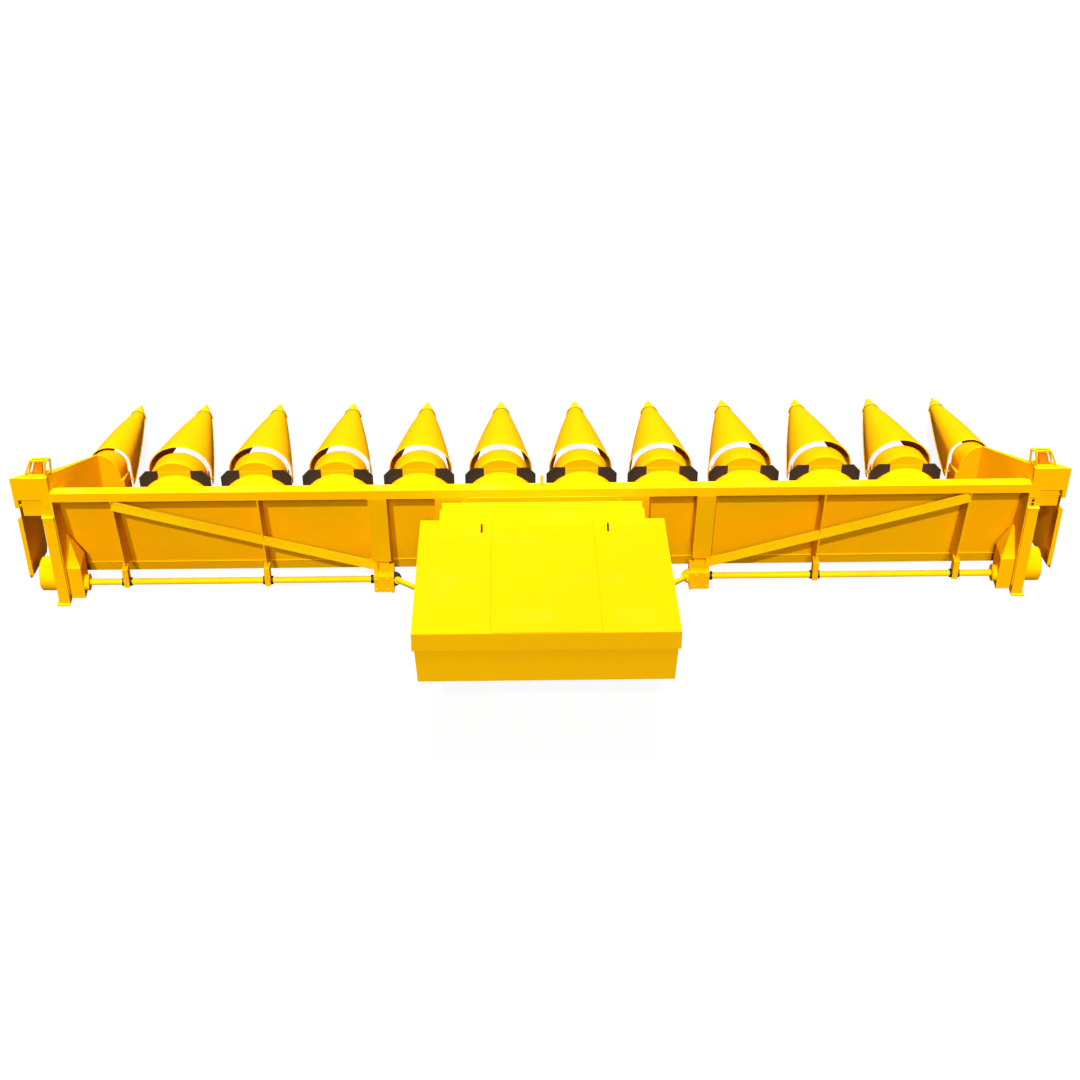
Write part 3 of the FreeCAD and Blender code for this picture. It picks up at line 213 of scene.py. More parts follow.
def moulded(name, colour, deep):
    """Moulded yellow: even, glossy, with fine scratches along the travel of the crop."""
    skin = Finish(name)
    skin.sheen(0.008, (1.0, 0.72, 0.03))
    broad = skin.between(skin.noise(1.6, 3.0), 0.3, 0.75)
    tone = skin.mix(broad * 0.7, colour, deep)
    scratches = skin.between(skin.noise(14.0, 6.0, stretch=(9.0, 0.7, 9.0)), 0.56, 0.74)
    tone = skin.mix(scratches * 0.10, tone, scratch_tone)
    scuffs = skin.between(skin.noise(5.0, 6.0, rough=0.7), 0.6, 0.8)
    tone = skin.mix(scuffs * 0.08, tone, scuff_tone)
    grain = skin.noise(260.0, 2.0)
    return skin.done(Base_Color=tone, Roughness=0.34 + scratches * 0.16 + scuffs * 0.12,
                     Normal=skin.bump(grain, 0.0003))


yellow = (0.930, 0.465, 0.001)
amber = (0.930, 0.425, 0.001)
deep_amber = (0.94, 0.430, 0.001)
paint = enamel("yellow enamel", yellow, amber)
frame_paint = enamel("frame enamel", (0.950, 0.480, 0.001), deep_amber, patches=0.7)
housing_paint = enamel("housing enamel", (0.790, 0.415, 0.0015), (0.790, 0.400, 0.0015),
                       reach=0.008, patches=0.45, rough=0.46, dusty=0.012)
cast_paint = enamel("painted casting", yellow, amber, peel=60.0, rough=0.5)
shaft_paint = enamel("shaft enamel", (0.950, 0.57, 0.002), (0.95, 0.50, 0.002), reach=0.004,
                     patches=2.0, rough=0.34)
# The feeder frame takes a deeper amber copy of the enamel: painted shade for its shaded jambs below
# the beam.
shaded_throat_paint = enamel("shaded throat enamel", (0.93, 0.36, 0.001), (0.92, 0.33, 0.001))
hood_skin = moulded("moulded hood", (0.940, 0.405, 0.001), (0.930, 0.375, 0.001))
point_skin = moulded("moulded point", (0.945, 0.480, 0.001), (0.935, 0.440, 0.001))
cap_skin = moulded("moulded tip", (0.95, 0.56, 0.002), (0.95, 0.50, 0.002))
print("yellow finishes made")


# %% [markdown]
# ## Rubber, iron, worn steel and lenses


# %% Dark finishes and lenses
def rubber(name):
    """Black rubber with pale dust and small nicks."""
    skin = Finish(name)
    dust = skin.between(skin.noise(7.0, 6.0, rough=0.65), 0.42, 0.75)
    tone = skin.mix(dust * 0.6, (0.012, 0.0085, 0.004), (0.020, 0.015, 0.006))
    rim = skin.edges(0.008)
    tone = skin.mix(rim * 0.5, tone, (0.060, 0.046, 0.022))
    grain = skin.noise(90.0, 4.0)
    return skin.done(Base_Color=tone, Roughness=0.72 + dust * 0.15, Normal=skin.bump(grain, 0.0008))


def iron(name, colour, rust, share):
    """Dark painted or bare iron, with rust in patches and edges rubbed bright."""
    metal = Finish(name)
    patches = metal.between(metal.noise(5.0, 6.0, rough=0.7), 0.5, 0.72)
    tone = metal.mix(patches * share, colour, rust)
    rim = metal.edges(0.005)
    tone = metal.mix(rim * 0.5, tone, (0.30, 0.29, 0.27))
    grain = metal.noise(120.0, 4.0)
    return metal.done(Base_Color=tone, Metallic=0.75 - patches * 0.5,
                      Roughness=0.48 + patches * 0.3 - rim * 0.15,
                      Normal=metal.bump(grain, 0.0006))


def polished(name):
    """Steel that the crop keeps bright: long streaks, with brown rust in patches."""
    metal = Finish(name)
    streaks = metal.noise(22.0, 5.0, stretch=(1.0, 7.0, 7.0))
    tone = metal.mix(streaks, (0.26, 0.245, 0.225), (0.46, 0.44, 0.41))
    rust = metal.between(metal.noise(4.0, 6.0, rough=0.7), 0.56, 0.74)
    tone = metal.mix(rust * 0.55, tone, (0.20, 0.085, 0.03))
    return metal.done(Base_Color=tone, Metallic=0.9 - rust * 0.5, Roughness=0.3 + rust * 0.35,
                      Normal=metal.bump(streaks, 0.0003))


def lens(name):
    """Orange lens: fine upright flutes behind a glossy face, with painted shade in dark red at its
    edges.
    """
    glass = Finish(name)
    flutes = glass.node("ShaderNodeTexWave", "Fac", settings={"bands_direction": "X"},
                        sockets={"Vector": glass.place(), "Scale": 42.0, "Distortion": 0.0})
    tone = glass.mix(flutes * 0.4, (0.86, 0.22, 0.002), (0.95, 0.32, 0.003))
    # Painted shade: the lens turns dark red along its edges.
    tone = glass.mix(glass.edges(0.022), tone, (0.62, 0.055, 0.002))
    dust = glass.noise(30.0, 4.0)
    glass.sheen(0.3, (1.0, 0.5, 0.1))
    return glass.done(Base_Color=tone, Roughness=0.14 + dust * 0.2,
                      Normal=glass.bump(flutes, 0.001))


black_rubber = rubber("black rubber")
shade_line_rubber = rubber("point shade line")
black_iron = iron("black iron", (0.020, 0.017, 0.014), (0.10, 0.045, 0.02), 0.35)
rusty_iron = iron("worn iron", (0.16, 0.145, 0.13), (0.19, 0.085, 0.035), 0.7)
bright_steel = polished("polished steel")
orange_lens = lens("orange lens")
print("dark finishes made")

# %% [markdown]
# ## Finishes on the CAD nodes
#
# A node keeps its mesh. Only the material in its slots changes.

# %% Node finishes
finishes = {
    "top_beam": paint, "back_sheet": frame_paint, "uprights": frame_paint,
    # The diagonal braces take the lighter shaft enamel: a painted highlight for their brightly lit
    # tops.
    "diagonal_braces": shaft_paint, "shaft_ribs": frame_paint, "toolbar": frame_paint,
    "auger_trough": bright_steel, "end_walls": frame_paint, "parking_posts": paint,
    "end_boxes": paint, "lamp_guards": paint, "lamps": orange_lens, "end_panels": paint,
    "drive_covers": cast_paint, "chain_cases": paint, "end_shields": paint, "end_hoods": hood_skin,
    "row_hoods": hood_skin, "ear_flaps": black_rubber, "row_frames": frame_paint,
    "deck_plates": bright_steel, "gathering_chains": rusty_iron, "stalk_rolls": rusty_iron,
    "skid_shoes": bright_steel, "feeder_frame": shaded_throat_paint, "throat_duct": housing_paint,
    "housing_body": housing_paint, "housing_cover": housing_paint, "housing_hatch": housing_paint,
    "gearboxes": cast_paint, "shaft_bearings": black_iron, "auger": bright_steel,
    "left_cross_shaft": shaft_paint, "right_cross_shaft": shaft_paint,
    "left_input_shaft": shaft_paint, "right_input_shaft": shaft_paint,
}


def dress(node, material):
    """Puts one material in every slot of a node."""
    if not node.data.materials:
        node.data.materials.append(material)
    for place in range(len(node.data.materials)):
        node.data.materials[place] = material


for name, node in nodes.items():
    dress(node, finishes.get(name, point_skin))
print("nodes dressed", len(nodes), "left on the point finish",
      sorted(set(nodes) - set(finishes))[:3])

# %% [markdown]
# ## Mesh helpers
#
# A piece is a list of corners and faces. Edges that turn sharply are marked, so that round faces
# shade smooth and corners stay crisp.


# %% Mesh helpers
def in_scene(name, data):
    """A new object in the scene."""
    made = bpy.data.objects.new(name, data)
    bpy.context.scene.collection.objects.link(made)
    return made


def stand(name, mesh, body, place=(0.0, 0.0, 0.0), replaced=()):
    """A piece of the object: a mesh at a place, riding on a body."""
    piece = in_scene(name, mesh)
    piece.location = place
    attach(piece, body)
    if replaced:
        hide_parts(*replaced)


def middle_x(name):
    """The middle of a CAD node, across the machine."""
    low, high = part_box(name)
    return (low.x + high.x) / 2


def blend(a, b, share):
    """A number between two others."""
    return a + (b - a) * share


def on_side(point, side):
    """A point given for the right side, on the right (1) or the left (-1)."""
    return Vector((point.x * side, point.y, point.z))


def inset(ring, wall):
    """An open section drawn in by a wall, across the machine."""
    drawn = []
    for n, corner in enumerate(ring):
        before = ring[max(n - 1, 0)]
        after = ring[min(n + 1, len(ring) - 1)]
        along = Vector((after.x - before.x, 0.0, after.z - before.z)).normalized()
        drawn.append(corner - Vector((-along.z, 0.0, along.x)) * wall)
    return drawn


def crown(x, y, half, low, spring, top, steps=26):
    """An arch across the machine: upright sides and a round crown."""
    rise = top - spring
    radius = (half ** 2 + rise ** 2) / (2 * rise)
    reach = math.acos((radius - rise) / radius)
    ring = [Vector((x - half, y, low))]
    for n in range(steps + 1):
        turn = -reach + 2 * reach * n / steps
        ring.append(Vector((x + radius * math.sin(turn), y,
                            top - radius + radius * math.cos(turn))))
    ring.append(Vector((x + half, y, low)))
    return ring


def round_ring(centre, side, up, radius, sides):
    """A ring of corners round a centre."""
    turns = [2 * math.pi * k / sides for k in range(sides)]
    return [centre + (side * math.cos(t) + up * math.sin(t)) * radius for t in turns]


# %% Shapes
class Shape:
    """Corners and faces gathered for one mesh."""

    def __init__(self):
        self.corners = []
        self.faces = []

    def add(self, corners, faces):
        first = len(self.corners)
        self.corners += [Vector(c) for c in corners]
        self.faces += [tuple(first + n for n in face) for face in faces]

    def grid(self, rings, flip=False, loop=False):
        """Faces between rings of as many corners."""
        count = len(rings[0])
        faces = []
        for a in range(len(rings) - 1):
            for b in range(count if loop else count - 1):
                near, far = a * count, (a + 1) * count
                after = (b + 1) % count
                face = (near + b, near + after, far + after, far + b)
                faces.append(face[::-1] if flip else face)
        self.add([c for ring in rings for c in ring], faces)

    def lid(self, ring, flip=False):
        """One face over a closed ring."""
        face = tuple(range(len(ring)))
        self.add(ring, [face[::-1] if flip else face])

    def closed(self, rings):
        """A closed form: its flank and both its ends."""
        self.grid(rings, loop=True)
        self.lid(rings[0], flip=True)
        self.lid(rings[-1])

    def shell(self, rings, wall, closed_rear=False):
        """An open sheet with a wall: its outside, its inside and the rims that join them."""
        inside = [inset(ring, wall) for ring in rings]
        if closed_rear:
            inside[0] = [Vector((c.x, c.y + wall, c.z)) for c in inside[0]]
            self.lid(rings[0])
            self.lid(inside[0], flip=True)
        self.grid(rings)
        self.grid(inside, flip=True)
        self.grid([rings[-1], inside[-1]])
        if not closed_rear:
            self.grid([rings[0], inside[0]], flip=True)
        for side, flip in ((0, True), (-1, False)):
            self.grid([[ring[side] for ring in rings], [ring[side] for ring in inside]], flip=flip)

    def tube(self, path, radius, sides=8):
        """A round bead along a path of points."""
        rings = []
        for n, point in enumerate(path):
            before = path[max(n - 1, 0)]
            after = path[min(n + 1, len(path) - 1)]
            along = (Vector(after) - Vector(before)).normalized()
            level = Vector((0, 0, 1)) if abs(along.z) < 0.9 else Vector((0, 1, 0))
            across = along.cross(level).normalized()
            rings.append(round_ring(Vector(point), across, across.cross(along), radius, sides))
        self.closed(rings)

    def turned(self, start, along, outline, sides, hollow=False):
        """A form turned round an axis, from its (distance, radius) outline."""
        along = Vector(along).normalized()
        side = along.orthogonal().normalized()
        rings = [round_ring(Vector(start) + along * distance, side, along.cross(side), radius,
                            sides) for distance, radius in outline]
        if hollow:
            self.grid(rings, loop=True)
        else:
            self.closed(rings)

    def bolt(self, seat, along, size):
        """A washer and a chamfered hexagon head, both in proportion to the size."""
        washer = [(-0.001, size * 1.05), (size * 0.16, size * 1.05), (size * 0.2, size * 0.98)]
        head = [(size * 0.15, size * 0.86), (size * 0.7, size * 0.86), (size * 0.82, size * 0.74)]
        self.turned(seat, along, washer, sides=20)
        self.turned(seat, along, head, sides=6)

    def mirrored(self):
        """The same form on the other side of the machine."""
        other = Shape()
        other.add([on_side(c, -1) for c in self.corners], [face[::-1] for face in self.faces])
        return other

    def mesh(self, name, material, crease=38.0):
        """A mesh with smooth faces and creased edges."""
        made = bpy.data.meshes.new(name)
        made.from_pydata([tuple(c) for c in self.corners], [], self.faces)
        made.validate()
        made.materials.append(material)
        made.polygons.foreach_set("use_smooth", [True] * len(made.polygons))
        made.set_sharp_from_angle(angle=math.radians(crease))
        return made


print("mesh helpers ready")

# %% [markdown]
# ## Divider points
#
# Each point is a thin moulded shell that tapers to a tip cap. A dark rubber bead just behind the cap
# is painted shade, standing in for the shaded gap where the cap meets the shell. The point is
# stiffened by a rolled bead along its rear arch and its two low edges, and hung on two pivot bolts.
# Ten are alike and share a mesh. The two end ones are narrower and stand askew.

# %% Sizes of the divider points
snout_wall = 0.005
tip_low = 0.292                 # height of the very tip
rear_low = 0.670                # height of the low edge at the rear
rear_cut = 0.022                # how much higher the low edge ends at the rear arch
cap_share = 0.875               # where the tip cap starts
cap_lap = 0.022                 # how far the cap reaches back over the shell
shade_line_back = 0.027               # how far behind the shell's end the dark bead of painted shade lies
front_top, front_low = 0.095, 0.012      # edges of the shell's front end above the tip
cap_top, cap_low = 0.113, 0.006          # the same of the cap's rear end
nose_top, nose_low = 0.007, -0.008       # the same of the cap's nose
nose_half, cap_flare = 0.007, 0.013      # half the nose, and what the cap adds to the shell
cap_taper, cap_droop = 1.12, 1.2         # how the cap narrows and falls
side_swell, top_swell = 0.012, 0.016
arch_bead, edge_bead = 0.0055, 0.006
shell_steps, cap_steps = 14, 9
pivot_z = 0.725
pivot_forward = 0.035
pivot_bolt = 0.011
inner_cap_half, end_cap_half = 0.071, 0.062
end_drift = 0.027               # how far the tips of the end points stand outwards
end_narrower_than = 0.25        # half the width that tells an end point from the others
snout_names = sorted(name for name in nodes if name.startswith("snout_"))
print("divider points to build", len(snout_names))


# %% Divider points
def snout_section(share, rear_y, tip_y, half, cap_half, drift, top):
    """The arch of a divider point, a share of the way from its rear to its cap."""
    reach = cap_share * (tip_y - rear_y)
    swell = 4 * share * (1 - share)
    width = blend(half, cap_half, share) + side_swell * swell
    high = blend(top, tip_low + front_top, share) + top_swell * swell
    low = blend(rear_low, tip_low + front_low, share)
    return crown(-drift * (1 - share), rear_y + share * reach, width, low, high - width, high)


def cap_section(share, cap_y, tip_y, cap_half):
    """The section of a tip cap, a share of the way from its rear to its nose."""
    width = nose_half + (cap_half + cap_flare) * (1 - share) ** cap_taper
    high = blend(tip_low + cap_top, tip_low + nose_top, share ** cap_droop)
    low = blend(tip_low + cap_low, tip_low + nose_low, share)
    spring = max(high - width, low + 0.001)
    return crown(0.0, blend(cap_y, tip_y, share), width, low, spring, high)


def build_snout(name, rear_y, tip_y, half, cap_half, drift, top):
    """The shell, beads, tip cap and dark painted-shade bead of one divider point, round X = 0 at its
    tip.
    """
    reach = cap_share * (tip_y - rear_y)
    form = (rear_y, tip_y, half, cap_half, drift, top)
    shape = Shape()
    sections = [snout_section(n / shell_steps, *form) for n in range(shell_steps + 1)]
    for end in (0, -1):
        sections[0][end].z += rear_cut
    shape.shell(sections, snout_wall)
    shape.tube(sections[0], arch_bead)
    for end in (0, -1):
        shape.tube([ring[end] for ring in sections], edge_bead)
    cap = Shape()
    cap_y = rear_y + reach - cap_lap
    cap.closed([cap_section(n / cap_steps, cap_y, tip_y, cap_half)
                for n in range(cap_steps + 1)])
    # A dark rubber bead just behind the cap: painted shade for the gap where the cap meets the shell.
    line = Shape()
    line.tube(snout_section(1.0 - shade_line_back / reach, *form), arch_bead)
    whole, marks = Shape(), []
    for mark, piece in enumerate((shape, cap, line)):
        whole.add(piece.corners, piece.faces)
        marks += [mark] * len(piece.faces)
    mesh = whole.mesh(name, point_skin)
    for material in (cap_skin, shade_line_rubber):
        mesh.materials.append(material)
    mesh.polygons.foreach_set("material_index", marks)
    return mesh


def build_pivots(name, rear_y, tip_y, half, cap_half, drift):
    """The two pivot bolts on the flanks of a divider point."""
    shape = Shape()
    width = blend(half, cap_half, pivot_forward / (cap_share * (tip_y - rear_y)))
    for side in (-1, 1):
        seat = (-drift + side * (width + 0.001), rear_y + pivot_forward, pivot_z)
        shape.bolt(seat, (side, 0, 0), pivot_bolt)
    return shape.mesh(name, shaft_paint)


shared = {}
for name in snout_names:
    low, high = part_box(name)
    half = (high.x - low.x) / 2
    middle = middle_x(name)
    side = 0 if half > end_narrower_than else (1 if middle > 0 else -1)
    cap_half = inner_cap_half if side == 0 else end_cap_half
    drift = side * end_drift
    if side not in shared:
        shared[side] = (
            build_snout("point_shell_%d" % (side + 1), low.y, high.y, half, cap_half, drift,
                        high.z),
            build_pivots("pivot_bolts_%d" % (side + 1), low.y, high.y, half, cap_half, drift))
    place = (middle + drift, 0.0, 0.0)
    number = name.split("_")[1]
    stand("divider_point_" + number, shared[side][0], name, place, (name,))
    stand("divider_pivots_" + number, shared[side][1], name, place)
print("divider points", len(snout_names), "from meshes", len(shared))

# %% [markdown]
# ## Row hoods
#
# Behind every point stands a hood in three steps: a low dome at the rear, an upright bulkhead with
# the rubber flaps on it, and a taller round arch that runs forwards under the point.

# %% Row hoods
shift_z = -0.020                    # heights below are above the ground line of the frame
hood_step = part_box("ear_flaps")[1].y - 0.001 + 0.005       # front face of the bulkhead
hood_wall = 0.004
hood_bead = 0.004
side_low = 0.770 + shift_z
arch_half, arch_length, arch_rise, arch_swell = 0.245, 0.301, 0.215, 0.006
arch_rear_top, arch_front_top = 1.195 + shift_z, 1.073 + shift_z
dome_half, dome_length, dome_rise, dome_sill = 0.300, 0.155, 0.185, 0.040
dome_rear_top, dome_front_top = 1.015, 1.049
plate_half, plate_thick = 0.311, 0.004
plate_low, plate_top = side_low + 0.043, 1.104 + shift_z
plate_corner, plate_shoulder, plate_cut = 0.066, 0.087, 0.018

# each profile gives places along the hood, and how far its edge is drawn in there
arch_profile = ((0.0, 0.010), (0.002, 0.005), (0.006, 0.0018), (0.014, 0.0), (0.150, 0.0),
                (0.301, 0.0))
dome_profile = ((-0.155, 0.008), (-0.152, 0.003), (-0.146, 0.0), (-0.075, 0.0), (-0.003, 0.0))


def build_hood():
    """The dome, bulkhead and arch of one row hood, round X = 0."""
    shape = Shape()
    arches = []
    for y, drawn in arch_profile:
        share = y / arch_length
        top = (blend(arch_rear_top, arch_front_top, share)
               + arch_swell * 4 * share * (1 - share) - drawn)
        arches.append(crown(0.0, hood_step + y, arch_half - drawn, side_low,
                            top - arch_rise + drawn, top))
    shape.shell(arches, hood_wall, closed_rear=True)
    shape.tube(arches[-1], hood_bead)
    domes = []
    for y, drawn in dome_profile:
        share = (y + dome_length) / dome_length
        top = blend(dome_rear_top, dome_front_top, share) + shift_z - drawn
        domes.append(crown(0.0, hood_step + y, dome_half - drawn, side_low + dome_sill,
                           top - dome_rise, top))
    shape.shell(domes, hood_wall)
    half_outline = [(plate_half, plate_low), (plate_half, plate_top - plate_shoulder),
                    (plate_half - plate_corner, plate_top - plate_cut)]
    outline = [(-x, z) for x, z in half_outline] + half_outline[::-1]
    rear = [Vector((x, hood_step - plate_thick, z)) for x, z in outline]
    ahead = [Vector((x, hood_step, z)) for x, z in outline]
    shape.grid([rear, ahead], loop=True)
    shape.lid(rear)
    shape.lid(ahead, flip=True)
    return shape.mesh("row_hood_shell", hood_skin, crease=30.0)


hood_mesh = build_hood()
inner_snouts = snout_names[1:-1]
for number, name in enumerate(inner_snouts, start=1):
    stand("row_hood_%02d" % number, hood_mesh, "frame",
          (middle_x(name), 0.0, 0.0), ("row_hoods",) if number == 1 else ())
print("row hoods", len(inner_snouts))

# %% [markdown]
# ## End hoods
#
# The hoods behind the end points are taller at the rear, lean away from the row, and carry a ledge
# along the row side.

# %% End hoods
end_low, end_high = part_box("end_hoods")
end_inwards = 0.019         # how far the hood stands inside the tip of its point
end_middle = middle_x(snout_names[-1]) + end_drift - end_inwards
end_half = 0.156
ledge_rear_z, ledge_front_z = 0.930, 0.842
ledge_lift = 0.008          # how much the ledge rises towards the crown
outer_fold = 0.120          # how far the fold of the outer side lies above the front of the ledge

# shares of the hood's length, and how far its edge is drawn in there
end_profile = ((0.0, 0.010), (0.012, 0.004), (0.035, 0.0), (0.35, 0.0), (0.68, 0.0), (1.0, 0.0))


def end_section(y, half, rise, middle, top, ledge, ledge_z, drawn, steps=14):
    """The section of the right end hood: the ledge side, a round crown and the outer side."""
    foot = end_middle - end_half + drawn
    outer = end_middle + end_half - drawn
    centre = top - rise
    fall = top - (ledge_front_z + shift_z) - outer_fold
    turns = [math.radians(90.0 * n / steps) for n in range(steps + 1)]
    ring = [(foot, side_low), (foot, ledge_z - drawn),
            (foot + ledge, ledge_z + ledge_lift - drawn)]
    ring += [(middle - (half - drawn) * math.cos(turn), centre + (rise - drawn) * math.sin(turn))
             for turn in turns]
    ring += [(middle + (outer - middle) * math.sin(turn),
              top - drawn - fall * (1.0 - math.cos(turn))) for turn in turns[1:]]
    ring.append((outer, side_low))
    return [Vector((x, y, z)) for x, z in ring]


def build_end_hood():
    """The right end hood: every blend runs from its rear to its front."""
    shape = Shape()
    sections = [end_section(
        y=blend(end_low.y, end_high.y, share), half=blend(0.178, 0.154, share),
        rise=blend(0.278, 0.154, share), middle=blend(end_middle + 0.048, end_middle, share),
        top=blend(1.228, 1.110, share) + shift_z, ledge=blend(0.026, 0.002, share),
        ledge_z=blend(ledge_rear_z, ledge_front_z, share) + shift_z, drawn=drawn)
        for share, drawn in end_profile]
    shape.shell(sections, hood_wall, closed_rear=True)
    shape.tube(sections[-1], hood_bead)
    return shape


right_hood = build_end_hood()
stand("end_hood_right", right_hood.mesh("end_hood_shell_right", hood_skin, crease=34.0), "frame",
      replaced=("end_hoods",))
stand("end_hood_left", right_hood.mirrored().mesh("end_hood_shell_left", hood_skin, crease=34.0),
      "frame")
print("end hoods 2")

# %% [markdown]
# ## Drive trim
#
# The slanting input shafts leave the gearboxes through a pleated boot: rubber on the left, a
# painted guard on the right. Bolts hold the lids and the rear flanges of the gearboxes, and the
# head of the right parking post.

# %% Boots
shaft_start = Vector((1.373, -0.1105, 0.154))                # of the right input shaft
shaft_slope = Vector((-0.390, -0.784, 0.483))
pleats, pleat_pitch = 5, 0.0135
boot_near = 0.002
boot_wide, boot_narrow, pleat_depth = 0.068, 0.046, 0.009
boot_inside = [(0.072, 0.038), (0.072, 0.032), (0.048, 0.038), (boot_near, 0.055)]


def pleated(start, along):
    """A boot of pleats round a shaft, hollow inside."""
    outline = []
    for n in range(pleats):
        wide = blend(boot_wide, boot_narrow, n / (pleats - 1))
        near = boot_near + n * pleat_pitch
        outline += [(near, wide - pleat_depth), (near + 0.004, wide), (near + 0.009, wide)]
    outline += boot_inside
    shape = Shape()
    shape.turned(start, along, outline + outline[:1], sides=28, hollow=True)
    return shape


for side, where, finish, slot in ((-1, "left", black_rubber, "black_rubber"),
                                  (1, "right", cast_paint, "gearbox_iron")):
    boot = pleated(on_side(shaft_start, side), on_side(shaft_slope, side))
    stand("input_boot_" + where, boot.mesh("boot_" + where, finish), "frame")
print("boots 2")


# %% Bolts
def bolted(name, mesh_name, seats, finish):
    """Bolt heads at (place, direction, size) seats, as one piece on the frame."""
    shape = Shape()
    for seat, along, size in seats:
        shape.bolt(seat, along, size)
    stand(name, shape.mesh(mesh_name, finish), "frame")


gear_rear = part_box("gearboxes")[0].y
lid_x, lid_y, lid_z = 1.477, gear_rear + 0.020, 0.247
flange_x, flange_y = 1.483, gear_rear + 0.0062
post_x, post_y = 4.418, -0.2362
large_bolt, small_bolt = 0.013, 0.011

gear_seats = []
for side in (-1, 1):
    gear_seats += [((side * (lid_x + across), lid_y, lid_z), (0, 0, 1), large_bolt)
                   for across in (-0.060, -0.022, 0.018, 0.056)]
    gear_seats += [((side * (flange_x + across), flange_y, high), (0, -1, 0), small_bolt)
                   for across in (-0.052, 0.052) for high in (0.090, 0.215)]
post_seats = [((post_x, post_y, high), (0, -1, 0), large_bolt) for high in (1.128, 1.086)]
bolted("gearbox_bolts", "gearbox_bolt_heads", gear_seats, cast_paint)
bolted("post_head_bolts", "post_bolt_heads", post_seats, black_iron)
print("bolts", len(gear_seats) + len(post_seats))

# %% [markdown]
# ## Trim on the sheets and the housing
#
# The back sheet has a rolled bead along its lower fold. A sloping lip closes the corner between
# the housing and the throat. The housing's cover has a seam down each side of its hatch, and beside
# each fin a dark bent bar that is painted shade for the fin's shaded side and its shadow.

# %% Fold bead and throat lip
sheet_low, sheet_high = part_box("back_sheet")
fold_y, fold_z, fold_end, fold_bead = 0.1605, 0.164, 0.02, 0.006
fold = Shape()
fold.tube([(sheet_low.x + fold_end, fold_y, fold_z), (sheet_high.x - fold_end, fold_y, fold_z)],
          fold_bead)
stand("sheet_bead", fold.mesh("fold_bead", paint), "frame")

cover_low, cover_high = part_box("housing_cover")
hatch_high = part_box("housing_hatch")[1]
duct_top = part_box("throat_duct")[1].z
lip_half = 0.895
lip_bend_share = 0.35       # where the lip bends upwards, from its rear
lip_rear, lip_front = cover_high.y + 0.004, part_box("feeder_frame")[0].y - 0.001
lip_foot, lip_bend, lip_top = duct_top + 0.001, duct_top + 0.030, duct_top + 0.092
profile = [(lip_rear, lip_foot), (blend(lip_rear, lip_front, lip_bend_share), lip_bend),
           (lip_front, lip_top), (lip_front, lip_foot)]
ends = [[(x, y, z) for y, z in profile] for x in (-lip_half, lip_half)]
lip = Shape()
lip.grid(ends, flip=True, loop=True)
lip.lid(ends[0])
lip.lid(ends[1][::-1])
stand("throat_lip", lip.mesh("throat_lip_plate", housing_paint), "frame")
print("fold bead and throat lip done")


# %% Seams and hooks
cover_y, cover_z, cover_slope = -0.3855, 1.089, 0.25676      # a point of the cover, and its fall
seam_bead, seam_gap, seam_end, seam_lift = 0.0045, 0.006, 0.01, 0.001
hook_middle, hook_offset = 0.557, 0.018
hook_rear, hook_front, hook_rise, hook_bar = -0.640, -0.535, 0.052, 0.008
hook_seat, hook_bend, hook_steps = 0.004, 0.7, 12


def cover_height(y):
    """Height of the cover's top at a place along it."""
    return cover_z + (cover_y - y) * cover_slope


seams = Shape()
for side in (-1, 1):
    x = side * (hatch_high.x + seam_gap)
    seams.tube([(x, y, cover_height(y) + seam_lift)
                for y in (hatch_high.y - seam_end, cover_low.y + seam_end)], seam_bead)
seam_paint = enamel("seam enamel", (0.90, 0.41, 0.001), (0.88, 0.39, 0.001), reach=0.003)
stand("hatch_seams", seams.mesh("hatch_seam_beads", seam_paint), "frame")

# Painted shade: a dark bent bar beside each fin stands for its shaded side and its shadow.
shade_bar_shape = Shape()
for middle in (-hook_middle, hook_middle):
    path = []
    for n in range(hook_steps + 1):
        share = n / hook_steps
        y = blend(hook_rear, hook_front, share)
        height = hook_seat + hook_rise * math.sin(math.pi * share) ** hook_bend
        path.append((middle + hook_offset, y, cover_height(y) + height))
    shade_bar_shape.tube(path, hook_bar, sides=10)
stand("fin_shade_bars", shade_bar_shape.mesh("fin_shade_bar_mesh", black_iron), "frame")
print("seams 2, hooks 2")

# %% [markdown]
# ## Floor, light and camera
#
# A plain white floor, a crisp lamp from behind, a strong soft one overhead and a weaker one behind.


# %% Floor
def pale_floor():
    """A floor that shows white, and sends less light back up than it shows."""
    ground = Finish("pale floor")
    lit = ground.node("ShaderNodeBsdfDiffuse", sockets={"Color": (0.9, 0.9, 0.9)})
    glow = ground.node("ShaderNodeEmission", sockets={"Color": (1.0, 1.0, 1.0), "Strength": 1.0})
    shown = ground.node("ShaderNodeMixShader", sockets={0: 0.92, 1: lit, 2: glow})
    dim = ground.node("ShaderNodeBsdfDiffuse", sockets={"Color": (0.04, 0.035, 0.02)})
    seen = ground.node("ShaderNodeLightPath", "Is Camera Ray")
    choice = ground.node("ShaderNodeMixShader", sockets={0: seen, 1: dim, 2: shown})
    feed(ground.tree, ground.tree.nodes["Material Output"].inputs["Surface"], choice)
    return ground.material


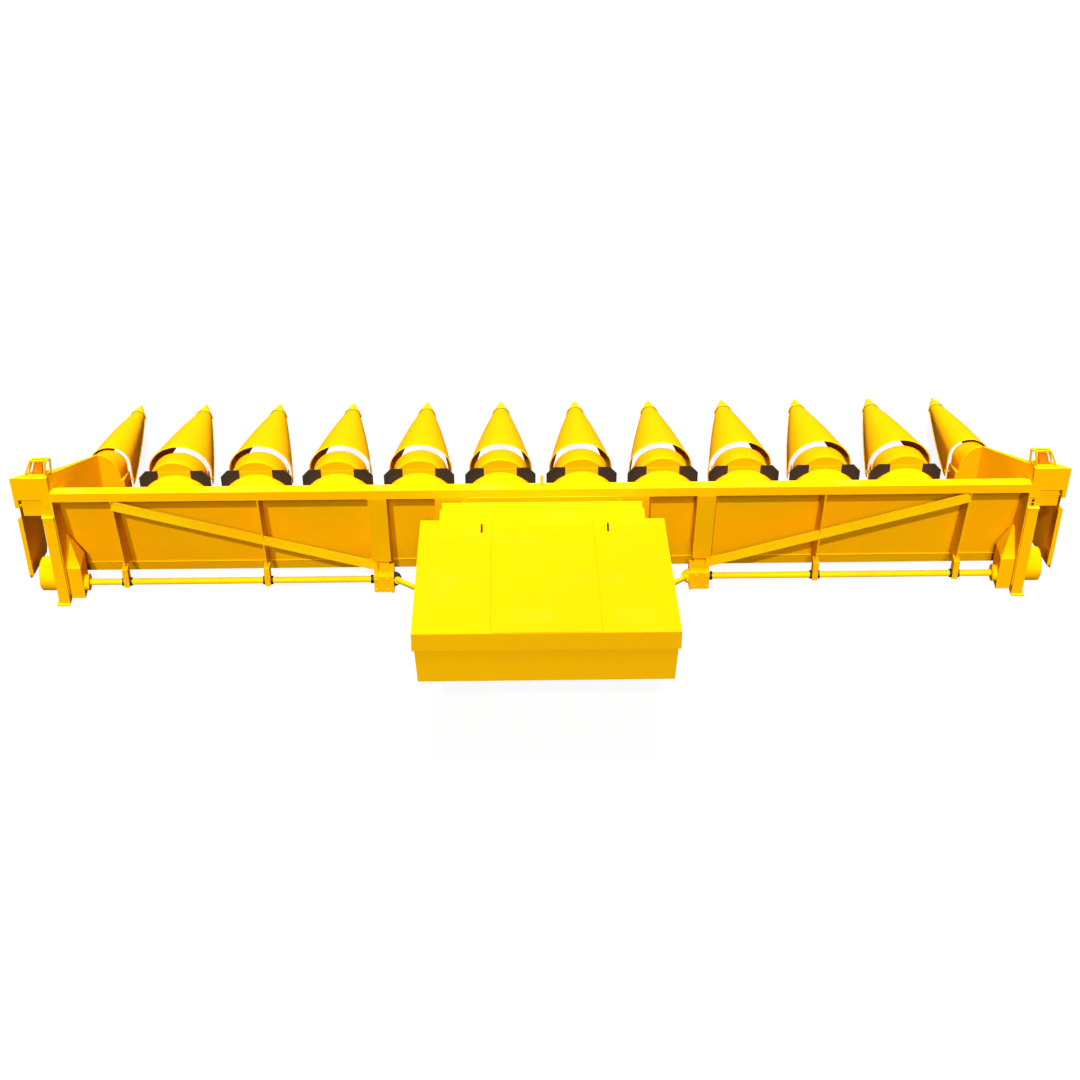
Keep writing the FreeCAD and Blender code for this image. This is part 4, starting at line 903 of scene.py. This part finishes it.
floor_reach = 60.0
floor_z = -0.002
floor_mesh = bpy.data.meshes.new("floor")
floor_mesh.from_pydata([(x * floor_reach, y * floor_reach, floor_z)
                        for x, y in ((-1, -1), (1, -1), (1, 1), (-1, 1))], [], [(0, 1, 2, 3)])
floor_mesh.materials.append(pale_floor())
floor = in_scene("floor", floor_mesh)
print("floor laid")

# %% World and lamps
room_light = 0.045          # what the surroundings give to the object
shown_light = 1.05          # how bright they look themselves

world = bpy.data.worlds.new("studio")
bpy.context.scene.world = world
world.use_nodes = True
sky = world.node_tree
room = sky.nodes["Background"]
room.inputs["Color"].default_value = (1.0, 1.0, 1.0, 1.0)
room.inputs["Strength"].default_value = room_light
white = sky.nodes.new("ShaderNodeBackground")
white.inputs["Strength"].default_value = shown_light
ray = sky.nodes.new("ShaderNodeLightPath")
chosen = sky.nodes.new("ShaderNodeMixShader")
sky.links.new(ray.outputs["Is Camera Ray"], chosen.inputs[0])
sky.links.new(room.outputs[0], chosen.inputs[1])
sky.links.new(white.outputs[0], chosen.inputs[2])
sky.links.new(chosen.outputs[0], sky.nodes["World Output"].inputs["Surface"])


def lamp(name, toward, strength, width):
    """A distant lamp: where it stands, its strength and how wide it looks in degrees."""
    data = bpy.data.lights.new(name, "SUN")
    data.energy = strength
    data.angle = math.radians(width)
    lit = in_scene(name, data)
    lit.rotation_mode = "QUATERNION"
    lit.rotation_quaternion = Vector(toward).to_track_quat("Z", "Y")


lamp("key lamp", (-0.10, -0.66, 0.75), 2.6, 1.0)
lamp("overhead lamp", (0.0, -0.05, 1.0), 5.1, 14.0)
lamp("rear fill", (0.02, -0.76, 0.65), 1.55, 9.0)
print("lamps 3")

# %% Camera
camera_down, camera_turn = 40.5, -0.9       # degrees below the level, and about the upright

camera_data = bpy.data.cameras.new("camera")
camera_data.sensor_width = 36.0
camera_data.lens = 68.3
camera_data.clip_end = 200.0
camera = in_scene("camera", camera_data)
camera.location = (-0.241, -14.4095, 12.824)
camera.rotation_euler = (math.radians(90.0 - camera_down), 0.0, math.radians(camera_turn))
bpy.context.scene.camera = camera
bpy.context.scene.view_settings.view_transform = "Standard"
print("stage set")
